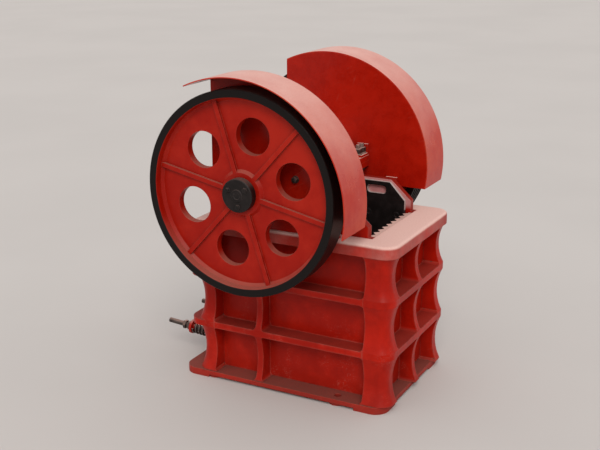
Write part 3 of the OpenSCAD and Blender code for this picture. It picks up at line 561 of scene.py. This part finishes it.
def rod_finish(name):
    """Black rod with a thread cut on its rear end, under a red spring cup."""
    finish = Finish(name)
    mottle = finish.noise(40.0)
    along = finish.part_of(finish.place, "Y")
    wave = finish.node("ShaderNodeTexWave",
                       {"wave_type": "BANDS", "bands_direction": "Y", "wave_profile": "TRI"},
                       {"Vector": finish.place, "Scale": 80.0, "Distortion": 0.0})
    thread = Num(finish, wave.outputs[1]) * along.ramp(THREAD_Y, THREAD_Y + 0.003)
    steel = finish.mixed(mottle.ramp(0.3, 0.7), ROD_STEEL, ROD_LIGHT)
    red = finish.mixed(mottle.ramp(0.3, 0.7), colour_of("enamel_deep"), colour_of("enamel"))
    cup = along.ramp(CUP_START_Y, CUP_START_Y + 0.0005) * along.ramp(CUP_END_Y, CUP_END_Y - 0.0005)
    colour = finish.mixed(cup, steel, red)
    colour, settled = dusted(finish, colour, start=0.45, full=1.1, most=0.5)
    rough = (0.42 + settled * 0.4 + (mottle - 0.5) * 0.2).clipped()
    metal = ((1.0 - cup) * 0.75 - settled * 0.7).clipped()
    facing = finish.bumped(thread + mottle * 0.15, depth=0.0012, strength=0.8, radius=0.001)
    return finish.shader(colour, rough, metallic=metal, facing=facing)


PAINTED = {}


def finishes():
    """Every finish, made once."""
    if PAINTED:
        return PAINTED
    clean, deep = colour_of("enamel"), colour_of("enamel_deep")
    guard = colour_of("guard_enamel")
    made = (
        ("frame", enamel("frame_enamel", clean, deep, dust_start=0.3, dust_full=0.95, dust_most=0.5,
                         dust=FRAME_DUST, splash=0.1, streaks=0.25, cheek_rims=0.75, ridges=0.46,
                         corner_shade=0.12)),
        ("base", enamel("base_enamel", clean, deep, dust_start=0.3, dust_full=0.9, dust_most=0.8,
                        dust=BASE_DUST, splash=0.3, streaks=0.2)),
        ("deck", enamel("deck_enamel", clean, deep, dust_start=-0.2, dust_full=0.72, dust_most=1.0,
                        dust=DECK_DUST, cast=0.6, streaks=0.25)),
        ("housing", enamel("housing_enamel", clean, deep, dust_start=0.2, dust_full=0.95, dust_most=0.85)),
        ("barrel", enamel("barrel_enamel", clean, deep, dust_start=0.25, dust_full=1.1, dust_most=0.8)),
        # On the guard bands the pale colour spreads from the top down over the sides: dust, and a painted
        # sheen on the rounded top.
        ("guard", enamel("guard_enamel", guard, clean, dust_start=-0.02, dust_full=1.66, dust_most=1.0,
                         dust=BAND_DUST_AND_SHEEN, cast=0.15, gloss=0.24, edge_radius=0.0012, streaks=0.12,
                         coat=0.12)),
        # The guard plates' clean red is set darker than the bands' paint: painted shade.
        ("plate", enamel("guard_plate_enamel", SHADED_PLATE_ENAMEL, deep, dust_start=0.3, dust_full=1.1,
                         dust_most=0.85, dust=PLATE_DUST, cast=0.15, gloss=0.28, edge_radius=0.0012,
                         streaks=0.12, coat=0.08, scuffs=0.38)),
        ("wheel", wheel_finish("wheel_paint")),
        ("black", black_finish("black_paint")),
        ("liner", black_finish("liner_paint", gloss=0.5, dust_most=0.5, pale_rims=0.95)),
        ("jaw", jaw_finish("jaw_casting")),
        ("clamp", jaw_finish("clamp_steel", bright=0.5, tone=CLAMP_STEEL, tone_light=CLAMP_LIGHT)),
        ("steel", steel_finish("turned_steel")),
        ("bracket", enamel("bracket_enamel", clean, deep, dust_start=0.15, dust_full=0.85, dust_most=1.0,
                           dust=DECK_DUST, cast=0.4, edge_radius=0.0015)),
        ("bolt", steel_finish("bolt_steel", tone=BOLT_STEEL, rust=0.3, rough_base=0.42, dust_most=0.75)),
        ("spring", steel_finish("spring_steel", tone=SPRING_STEEL, rust=0.35, rough_base=0.4)),
        ("rod", rod_finish("rod_steel")),
        ("weld", enamel("weld_enamel", guard, clean, dust_start=0.2, dust_full=1.0, dust_most=0.7,
                        cast=1.6, gloss=0.3, edge_radius=0.001, streaks=0.0)),
    )
    PAINTED.update(made)
    return PAINTED


NODE_FINISH = {
    "frame": ("front_wall", "rear_wall", "left_wall", "right_wall", "front_left_post", "front_right_post",
              "rear_left_post", "rear_right_post", "toggle_block"),
    "base": ("base_flange",),
    "deck": ("deck_plate",),
    "housing": ("left_bearing_base", "right_bearing_base", "left_bearing_cap", "right_bearing_cap"),
    "barrel": ("swing_jaw", "lifting_eye", "rod_lugs"),
    "guard": ("left_guard_band", "right_guard_band"),
    "plate": ("left_guard_plate", "right_guard_plate"),
    "wheel": ("flywheel", "belt_pulley"),
    "black": ("flywheel_cap", "pulley_cap", "barrel_rings"),
    "liner": ("left_liner", "right_liner"),
    "jaw": ("fixed_jaw_plate", "moving_jaw_plate", "toggle_plate"),
    "clamp": ("jaw_clamp",),
    "steel": ("eccentric_shaft", "left_bearing", "right_bearing"),
    "bracket": ("left_guard_bracket", "right_guard_bracket"),
    "rod": ("tension_rods", "rod_eyes"),
}


# Mesh work


# How deep the foot of a washer lies in what carries it
SUNK = 0.0004


def turned(mesh, profile, steps):
    """Spins a line of (radius, height) points about Z and gives the new corners."""
    before = set(mesh.verts)
    points = [mesh.verts.new((radius, 0.0, height)) for radius, height in profile]
    lines = [mesh.edges.new(pair) for pair in zip(points, points[1:])]
    bmesh.ops.spin(mesh, geom=points + lines, cent=(0, 0, 0), axis=(0, 0, 1), dvec=(0, 0, 0),
                   angle=math.tau, steps=steps, use_merge=True, use_duplicate=False)
    made = [corner for corner in mesh.verts if corner not in before]
    bmesh.ops.remove_doubles(mesh, verts=made, dist=1e-6)
    return [corner for corner in mesh.verts if corner not in before]


def hexagon(mesh, flats, height, chamfer=0.0012, base=0.0):
    """A six-sided bar with rounded-over top and bottom edges, standing on Z = base."""
    made = bmesh.ops.create_cone(mesh, cap_ends=True, segments=6, radius1=flats / math.sqrt(3),
                                 radius2=flats / math.sqrt(3), depth=height)["verts"]
    bmesh.ops.translate(mesh, verts=made, vec=(0, 0, base + height / 2))
    rims = {edge for corner in made for edge in corner.link_edges
            if abs(edge.verts[0].co.z - edge.verts[1].co.z) < 1e-6}
    result = bmesh.ops.bevel(mesh, geom=list(rims), affect="EDGES", offset=chamfer, segments=2,
                             profile=0.5, material=-1)
    group = set(result["verts"]) | {corner for corner in made if corner.is_valid}
    return list(group)


def placed(mesh, corners, where, out, turn=0.0):
    """Moves corners modelled about the origin to a place, with their Z axis along out."""
    aim = Vector(out).normalized().to_track_quat("Z", "Y").to_matrix().to_4x4()
    matrix = Matrix.Translation(Vector(where)) @ aim @ Matrix.Rotation(turn, 4, "Z")
    bmesh.ops.transform(mesh, matrix=matrix, verts=corners)


def washer(mesh, where, out, radius, thick):
    """A round washer with a bevelled upper edge."""
    profile = [(0.0, 0.0), (radius, 0.0), (radius, thick * 0.7), (radius - thick * 0.4, thick), (0.0, thick)]
    placed(mesh, turned(mesh, profile, 28), where, out)


def bolt_head(mesh, where, out, flats, height, turn=0.0, washer_r=0.0, washer_t=0.0025):
    """A hexagon head with a turned face under it, on a washer if one is asked for."""
    out = Vector(out).normalized()
    where = Vector(where)
    if washer_r:
        washer(mesh, where - out * SUNK, out, washer_r, washer_t + SUNK)
        where = where + out * washer_t
    edge = height * 0.1
    foot_r = flats * 0.475
    foot = [(0.0, -0.0003), (foot_r, -0.0003), (foot_r, edge), (0.0, edge)]
    placed(mesh, turned(mesh, foot, 24), where, out)
    body = hexagon(mesh, flats, height * 0.92, chamfer=edge, base=height * 0.08)
    placed(mesh, body, where, out, turn)
    top = height * 1.03
    crown = [(0.0, height), (flats * 0.43, height), (flats * 0.40, top), (0.0, top)]
    placed(mesh, turned(mesh, crown, 24), where, out)


def stud_end(mesh, where, out, radius, length):
    """The threaded end of a stud, standing out of its nut."""
    pitch = radius * 0.24
    profile = [(0.0, 0.0), (radius, 0.0)]
    height = 0.0
    while height + pitch < length - radius * 0.2:
        profile += [(radius, height + pitch * 0.35), (radius * 0.88, height + pitch * 0.65),
                    (radius, height + pitch)]
        height += pitch
    profile += [(radius * 0.8, length), (0.0, length)]
    placed(mesh, turned(mesh, profile, 20), where, out)


def nut(mesh, where, out, flats, height, stud_r, stud_out, turn=0.0, washer_r=0.0, washer_t=0.003):
    """A hexagon nut on a stud, with a washer under it if one is asked for."""
    out = Vector(out).normalized()
    where = Vector(where)
    if washer_r:
        washer(mesh, where - out * SUNK, out, washer_r, washer_t + SUNK)
        where = where + out * washer_t
    placed(mesh, hexagon(mesh, flats, height, chamfer=height * 0.12), where, out, turn)
    stud_end(mesh, where + out * height * 0.85, out, stud_r, stud_out + height * 0.15)


def finished(mesh, name, finish, body, crease=SHARP_CREASE):
    """Turns a bmesh into a piece that rides on a body."""
    bmesh.ops.remove_doubles(mesh, verts=mesh.verts[:], dist=2e-6)
    bmesh.ops.recalc_face_normals(mesh, faces=mesh.faces[:])
    if not mesh.faces:
        raise RuntimeError("Nothing was made for " + name)
    data = bpy.data.meshes.new(name)
    mesh.to_mesh(data)
    mesh.free()
    data.shade_smooth()
    data.set_sharp_from_angle(angle=math.radians(crease))
    data.materials.append(finishes()[finish])
    piece = bpy.data.objects.new(name, data)
    bpy.context.scene.collection.objects.link(piece)
    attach(piece, body)
    return piece


def outer_face(node):
    """How far a node's outer face stands from the machine's middle plane."""
    low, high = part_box(node)
    return max(abs(low.x), abs(high.x))


def inner_face(node):
    """How far a node's inner face stands from the machine's middle plane."""
    low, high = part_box(node)
    return min(abs(low.x), abs(high.x))


def rod_place(x, y):
    """The point at y on the middle line of the tension rod at x."""
    point = ROD_EYE + ROD_OUT * ((y - ROD_EYE.y) / ROD_OUT.y)
    return Vector((x, point.y, point.z))


def ring_of_places(middle, radius, count, shift):
    """The angle and the place of each point of an upright circle, the first one shift steps round."""
    for index in range(count):
        angle = math.tau * (index + shift) / count
        yield angle, middle + Vector((0.0, math.cos(angle), math.sin(angle))) * radius


def jaw_place(x, depth, length):
    """A point on the moving jaw: depth behind its line and length up from its foot."""
    sin, cos = math.sin(JAW_TILT), math.cos(JAW_TILT)
    return Vector((x, JAW_FOOT.y + depth * cos + length * sin, JAW_FOOT.z - depth * sin + length * cos))


# Operators. A bolt's turn comes from its place, so that no row of heads stands in line.


class CRUSHER_OT_stage(bpy.types.Operator):
    """Lay the floor, hang the lamps and set up the camera"""

    bl_idname = "crusher.stage"
    bl_label = "Set the stage"

    def execute(self, context):
        settings = context.scene.crusher_stage
        scene = context.scene
        mesh = bmesh.new()
        bmesh.ops.create_grid(mesh, x_segments=8, y_segments=8, size=60.0)
        data = bpy.data.meshes.new("floor")
        mesh.to_mesh(data)
        mesh.free()
        floor = bpy.data.objects.new("floor", data)
        scene.collection.objects.link(floor)
        finish = Finish("floor_paint")
        cloud = finish.noise(0.9, rough=0.5)
        tone = tuple(settings.floor)
        darker = tuple(value * 0.965 for value in tone[:3]) + (1.0,)
        colour = finish.mixed(cloud.ramp(0.3, 0.7), darker, tone)
        finish.shader(colour, 0.85, gloss=0.2)
        data.materials.append(finish.material)
        self.hang_lamps(scene, settings)
        self.set_camera(scene, settings)
        scene.view_settings.view_transform = "Standard"
        return {"FINISHED"}

    def hang_lamps(self, scene, settings):
        """One broad lamp and an even sky, with the backdrop's colour where the sky is looked at."""
        lamp = bpy.data.lights.new("broad_lamp", "SUN")
        lamp.energy = settings.sun
        lamp.angle = math.radians(28.0)
        lamp.color = (1.0, 0.97, 0.94)
        sun = bpy.data.objects.new("broad_lamp", lamp)
        sun.rotation_mode = "QUATERNION"
        sun.rotation_quaternion = Vector((-0.85, -0.45, 0.85)).to_track_quat("Z", "Y")
        scene.collection.objects.link(sun)
        world = bpy.data.worlds.new("sky")
        sky = Nodes(world)
        light = sky.node("ShaderNodeBackground", {}, {0: (0.94, 0.97, 1.0, 1.0), 1: settings.sky})
        shown = sky.node("ShaderNodeBackground", {}, {0: tuple(settings.horizon), 1: 1.0})
        rays = sky.node("ShaderNodeLightPath").outputs
        seen = Num(sky, rays["Is Camera Ray"]).higher_of(rays["Is Glossy Ray"])
        seen = seen.higher_of(rays["Is Transmission Ray"])
        both = sky.node("ShaderNodeMixShader", {}, {0: seen, 1: light.outputs[0], 2: shown.outputs[0]})
        sky.node("ShaderNodeOutputWorld", {}, {0: both.outputs[0]})
        scene.world = world

    def set_camera(self, scene, settings):
        """The camera at its place, turned towards the point it aims at."""
        data = bpy.data.cameras.new("camera")
        data.lens = settings.lens
        data.sensor_width = 36.0
        data.clip_start = 0.05
        data.clip_end = 200.0
        camera = bpy.data.objects.new("camera", data)
        place = Vector(settings.camera_place)
        camera.location = place
        camera.rotation_mode = "QUATERNION"
        camera.rotation_quaternion = (place - Vector(settings.camera_aim)).to_track_quat("Z", "Y")
        scene.collection.objects.link(camera)
        scene.camera = camera


class CRUSHER_OT_paint(bpy.types.Operator):
    """Give every casting, plate and turned part its finish"""

    bl_idname = "crusher.paint"
    bl_label = "Paint the castings"

    def execute(self, context):
        for finish, names in NODE_FINISH.items():
            for name in names:
                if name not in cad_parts:
                    raise RuntimeError("The frame has no node " + name)
                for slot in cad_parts[name].material_slots:
                    slot.material = finishes()[finish]
        return {"FINISHED"}


class CRUSHER_OT_cap_studs(bpy.types.Operator):
    """Put studs, washers and nuts through the split bearing housings"""

    bl_idname = "crusher.cap_studs"
    bl_label = "Bearing cap studs"

    def execute(self, context):
        flats = sizes().stud_nut
        strap_top = AXIS_Z + FLANGE_T + BRACKET_T
        flange_under = AXIS_Z - FLANGE_T
        for side, sign in SIDES:
            low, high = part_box(side + "_bearing_cap")
            mesh = bmesh.new()
            for y in (low.y + STUD_INSET, high.y - STUD_INSET):
                for x in STUDS_X:
                    nut(mesh, (sign * x, y, strap_top), UP, flats, height=0.016, stud_r=0.0075,
                        stud_out=0.012, turn=x * 37.0 + y * 11.0, washer_r=flats * 0.62)
                    bolt_head(mesh, (sign * x, y, flange_under), DOWN, flats, height=0.012, turn=y * 9.0)
            finished(mesh, side + "_cap_studs", "bolt", "frame")
        return {"FINISHED"}


class CRUSHER_OT_guard_bolts(bpy.types.Operator):
    """Bolt the guards to their brackets and the brackets to the deck"""

    bl_idname = "crusher.guard_bolts"
    bl_label = "Guard bolts"

    def execute(self, context):
        flats = sizes().guard_bolt
        small = flats * 0.8
        for side, sign in SIDES:
            outer = outer_face(side + "_guard_plate")
            inner = inner_face(side + "_guard_plate")
            mesh = bmesh.new()
            for y in LOWER_BOLTS_Y:
                bolt_head(mesh, (sign * outer, y, LOWER_BOLTS_Z), (sign, 0, 0), small, height=0.008,
                          turn=y * 31.0, washer_r=flats * 0.5, washer_t=0.002)
                nut(mesh, (sign * (inner - BRACKET_T), y, LOWER_BOLTS_Z), (-sign, 0, 0), small, height=0.008,
                    stud_r=0.004, stud_out=0.005, turn=y * 17.0, washer_r=flats * 0.5, washer_t=0.002)
            for y in UPPER_BOLTS_Y:
                bolt_head(mesh, (sign * outer, y, UPPER_BOLTS_Z), (sign, 0, 0), flats, height=0.009,
                          turn=y * 13.0, washer_r=flats * 0.64)
            for y in FOOT_BOLTS_Y:
                bolt_head(mesh, (sign * FOOT_BOLTS_X[side], y, DECK_TOP + BRACKET_T), UP, SMALL_BOLT,
                          height=0.008, turn=y * 23.0, washer_r=SMALL_WASHER_R, washer_t=0.002)
            finished(mesh, side + "_guard_bolts", "bolt", "frame")
        return {"FINISHED"}


class CRUSHER_OT_clamp_bolts(bpy.types.Operator):
    """Bolt the clamp bar down on the moving jaw plate"""

    bl_idname = "crusher.clamp_bolts"
    bl_label = "Clamp bolts"

    def execute(self, context):
        flats = sizes().clamp_bolt
        out = (0.0, -math.cos(JAW_TILT), math.sin(JAW_TILT))
        mesh = bmesh.new()
        for x in CLAMP_BOLTS_X:
            bolt_head(mesh, jaw_place(x, depth=0.0055, length=0.4925), out, flats, height=0.014,
                      turn=x * 5.0, washer_r=flats * 0.62, washer_t=0.003)
        finished(mesh, "clamp_bolts", "black", "swing_jaw")
        return {"FINISHED"}


class CRUSHER_OT_springs(bpy.types.Operator):
    """Wind the two springs of the tension rods and press the seats that they stand on"""

    bl_idname = "crusher.springs"
    bl_label = "Tension springs"

    def execute(self, context):
        wire = SPRING_WIRE_R
        rounds = SPRING_TURNS * SPRING_STEPS
        rise = (SPRING_END - SPRING_START - 2 * wire) / rounds
        mesh = bmesh.new()
        for x in RODS_X:
            made = bmesh.ops.create_circle(mesh, cap_ends=False, segments=10, radius=wire)["verts"]
            upright = Matrix.Translation((SPRING_MEAN_R, 0.0, wire)) @ QUARTER_TURN_X
            bmesh.ops.transform(mesh, matrix=upright, verts=made)
            before = set(mesh.verts) - set(made)
            edges = [edge for edge in mesh.edges if edge.verts[0] in made]
            bmesh.ops.spin(mesh, geom=made + edges, cent=(0, 0, 0), axis=(0, 0, 1), dvec=(0, 0, rise),
                           angle=math.tau * SPRING_TURNS, steps=rounds, use_merge=False, use_duplicate=False)
            corners = [corner for corner in mesh.verts if corner not in before]
            ends = [edge for edge in mesh.edges if edge.is_boundary]
            bmesh.ops.holes_fill(mesh, edges=ends, sides=0)
            placed(mesh, corners, rod_place(x, SPRING_START), ROD_OUT)
        piece = finished(mesh, "wound_springs", "spring", "frame", SOFT_CREASE)
        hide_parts("tension_springs")
        seat = [(0.0105, -0.0012), (0.0255, -0.0012), (0.0255, 0.0016), (0.0245, 0.0026), (0.0222, 0.0026),
                (0.0222, 0.0008), (0.0105, 0.0008), (0.0105, -0.0012)]
        mesh = bmesh.new()
        for x in RODS_X:
            placed(mesh, turned(mesh, seat, 40), rod_place(x, SPRING_START), ROD_OUT)
        finished(mesh, "spring_seats", "frame", "frame")
        return {"FINISHED"}


class CRUSHER_OT_rod_ends(bpy.types.Operator):
    """Put lock nuts on the tension rods"""

    bl_idname = "crusher.rod_ends"
    bl_label = "Tension rod nuts"

    def execute(self, context):
        flats = sizes().rod_nut
        mesh = bmesh.new()
        for x in RODS_X:
            placed(mesh, hexagon(mesh, flats, height=0.010, chamfer=0.0014), rod_place(x, LOCK_NUT_Y),
                   ROD_OUT, x * 4.0)
        finished(mesh, "rod_nuts", "bolt", "frame")
        return {"FINISHED"}


class CRUSHER_OT_end_caps(bpy.types.Operator):
    """Bolt the black caps over the shaft ends"""

    bl_idname = "crusher.end_caps"
    bl_label = "End cap bolts"

    def execute(self, context):
        count = sizes().cap_bolts
        dimple = [(0.0, -0.0005), (0.0190, -0.0005), (0.0190, 0.0), (0.0175, 0.0015), (0.0100, 0.0015),
                  (0.0090, 0.0005), (0.0, 0.0005)]
        for name, sign in (("flywheel_cap", -1.0), ("pulley_cap", 1.0)):
            middle = Vector((sign * outer_face(name), AXIS_Y, AXIS_Z))
            mesh = bmesh.new()
            placed(mesh, turned(mesh, dimple, 40), middle, (sign, 0, 0))
            for angle, place in ring_of_places(middle, CAP_BOLTS_R, count, shift=0.2):
                bolt_head(mesh, place, (sign, 0, 0), SMALL_BOLT, height=0.0044, turn=angle,
                          washer_r=SMALL_WASHER_R, washer_t=0.0012)
            finished(mesh, name + "_bolts", "black", "shaft")
        return {"FINISHED"}


class CRUSHER_OT_bearing_covers(bpy.types.Operator):
    """Close the outer faces of the bearing housings with screwed covers"""

    bl_idname = "crusher.bearing_covers"
    bl_label = "Bearing covers"

    def execute(self, context):
        count = sizes().cover_screws
        thick = 0.0040
        profile = [(0.0425, -0.002), (0.0425, thick), (0.0440, 0.0052), (0.0500, 0.0052), (0.0515, thick),
                   (0.0650, thick), (0.0665, 0.0028), (0.0665, -0.001), (0.0425, -0.002)]
        for side, sign in SIDES:
            face = outer_face(side + "_bearing_cap")
            mesh = bmesh.new()
            placed(mesh, turned(mesh, profile, 72), (sign * face, AXIS_Y, AXIS_Z), (sign, 0, 0))
            finished(mesh, side + "_bearing_cover", "housing", "frame")
            middle = Vector((sign * (face + thick), AXIS_Y, AXIS_Z))
            mesh = bmesh.new()
            for angle, place in ring_of_places(middle, COVER_SCREWS_R, count, shift=0.5):
                bolt_head(mesh, place, (sign, 0, 0), SMALL_SCREW, height=0.005, turn=angle)
            finished(mesh, side + "_cover_screws", "bolt", "frame")
        return {"FINISHED"}


class CRUSHER_OT_grease_nipples(bpy.types.Operator):
    """Screw a grease nipple into the top of each bearing cap"""

    bl_idname = "crusher.grease_nipples"
    bl_label = "Grease nipples"

    def execute(self, context):
        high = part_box("right_bearing_cap")[1]
        collar = 0.006
        nipple = [(0.0, 0.0), (0.0042, 0.0), (0.0042, 0.003), (0.0028, 0.0045), (0.0028, 0.0065),
                  (0.0040, 0.0080), (0.0034, 0.0100), (0.0018, 0.0112), (0.0, 0.0112)]
        mesh = bmesh.new()
        for x in NIPPLES_X:
            where = Vector((x, AXIS_Y, high.z - 0.0006))
            placed(mesh, hexagon(mesh, SMALL_BOLT, collar, chamfer=0.0008), where, UP, x * 5.0)
            placed(mesh, turned(mesh, nipple, 20), where + Vector((0, 0, collar)), UP)
        finished(mesh, "grease_nipples", "bolt", "frame")
        return {"FINISHED"}


class CRUSHER_OT_guard_welds(bpy.types.Operator):
    """Run a weld bead along the corner of each guard, inside the band"""

    bl_idname = "crusher.guard_welds"
    bl_label = "Guard welds"

    def execute(self, context):
        centre = (0.0, AXIS_Y, GUARD_Z)
        for side, sign in SIDES:
            bead_x = sign * (outer_face(side + "_guard_plate") + BEAD_OFF_PLATE)
            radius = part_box(side + "_guard_plate")[1].z - GUARD_Z - BEAD_OFF_BAND
            mesh = bmesh.new()
            made = bmesh.ops.create_circle(mesh, cap_ends=True, segments=8, radius=BEAD_R)["verts"]
            bmesh.ops.transform(mesh, verts=made, matrix=QUARTER_TURN_Z @ QUARTER_TURN_Y)
            bmesh.ops.translate(mesh, verts=made, vec=(bead_x, AXIS_Y + radius, GUARD_Z))
            bmesh.ops.rotate(mesh, verts=made, cent=centre, matrix=Matrix.Rotation(BEAD_LAST, 3, "X"))
            bmesh.ops.spin(mesh, geom=mesh.faces[:], cent=centre, axis=(1, 0, 0), dvec=(0, 0, 0),
                           angle=BEAD_FIRST - BEAD_LAST, steps=170, use_merge=False, use_duplicate=False)
            for corner in mesh.verts:
                angle = math.atan2(corner.co.z - GUARD_Z, corner.co.y - AXIS_Y)
                swell = 1.0 + 0.22 * math.sin(angle * 260.0)
                corner.co.x = bead_x + (corner.co.x - bead_x) * swell
            finished(mesh, side + "_guard_weld", "weld", "frame", SOFT_CREASE)
        return {"FINISHED"}


class CRUSHER_OT_eye_weld(bpy.types.Operator):
    """Weld the lifting eye down on the barrel"""

    bl_idname = "crusher.eye_weld"
    bl_label = "Lifting eye weld"

    def execute(self, context):
        profile = [(0.0135, -0.003), (0.0195, -0.003), (0.0185, 0.0018), (0.0160, 0.0046), (0.0135, 0.0056),
                   (0.0130, 0.002), (0.0135, -0.003)]
        mesh = bmesh.new()
        corners = turned(mesh, profile, 72)
        for corner in corners:
            angle = math.atan2(corner.co.y, corner.co.x)
            ripple = 1.0 + 0.045 * math.sin(angle * 19.0)
            corner.co.x *= ripple
            corner.co.y *= ripple
            corner.co.z += math.sqrt(BARREL_R ** 2 - corner.co.y ** 2) - BARREL_R
        placed(mesh, corners, (0.0, AXIS_Y, ECCENTRIC_Z + BARREL_R), UP)
        finished(mesh, "eye_weld", "weld", "swing_jaw", SOFT_CREASE)
        return {"FINISHED"}


class CRUSHER_OT_liner_screws(bpy.types.Operator):
    """Hold the side liners with countersunk screws"""

    bl_idname = "crusher.liner_screws"
    bl_label = "Liner screws"

    def execute(self, context):
        screw = [(0.0, -0.0012), (0.0110, -0.0012), (0.0110, 0.0002), (0.0098, 0.0009), (0.0052, 0.0009),
                 (0.0046, -0.0006), (0.0, -0.0006)]
        mesh = bmesh.new()
        for side, sign in SIDES:
            face = inner_face(side + "_liner")
            for y, z in LINER_SCREWS:
                placed(mesh, turned(mesh, screw, 28), (sign * face, y, z), (-sign, 0, 0))
        finished(mesh, "liner_screws", "liner", "frame")
        return {"FINISHED"}


STEPS = (CRUSHER_OT_stage, CRUSHER_OT_paint, CRUSHER_OT_cap_studs, CRUSHER_OT_guard_bolts,
         CRUSHER_OT_clamp_bolts, CRUSHER_OT_springs, CRUSHER_OT_rod_ends, CRUSHER_OT_end_caps,
         CRUSHER_OT_bearing_covers, CRUSHER_OT_grease_nipples, CRUSHER_OT_guard_welds,
         CRUSHER_OT_eye_weld, CRUSHER_OT_liner_screws)


class CRUSHER_PT_dressing(bpy.types.Panel):
    """Lists the steps of the dressing and the values they use"""

    bl_idname = "CRUSHER_PT_dressing"
    bl_label = "Jaw Crusher"
    bl_space_type = "VIEW_3D"
    bl_region_type = "UI"
    bl_category = "Crusher"

    def draw(self, context):
        column = self.layout.column()
        for step in STEPS:
            column.operator(step.bl_idname)
        for name, kind in GROUPS:
            box = self.layout.box()
            for key in kind.__annotations__:
                box.prop(getattr(context.scene, name), key)


CLASSES = tuple(kind for name, kind in GROUPS) + STEPS + (CRUSHER_PT_dressing,)


def register():
    for kind in CLASSES:
        bpy.utils.register_class(kind)
    for name, kind in GROUPS:
        setattr(bpy.types.Scene, name, PointerProperty(type=kind))


def unregister():
    for name, kind in GROUPS:
        delattr(bpy.types.Scene, name)
    for kind in reversed(CLASSES):
        bpy.utils.unregister_class(kind)


def main():
    """Runs every step in order."""
    register()
    for step in STEPS:
        area, name = step.bl_idname.split(".")
        getattr(getattr(bpy.ops, area), name)()


if __name__ == "__main__":
    main()
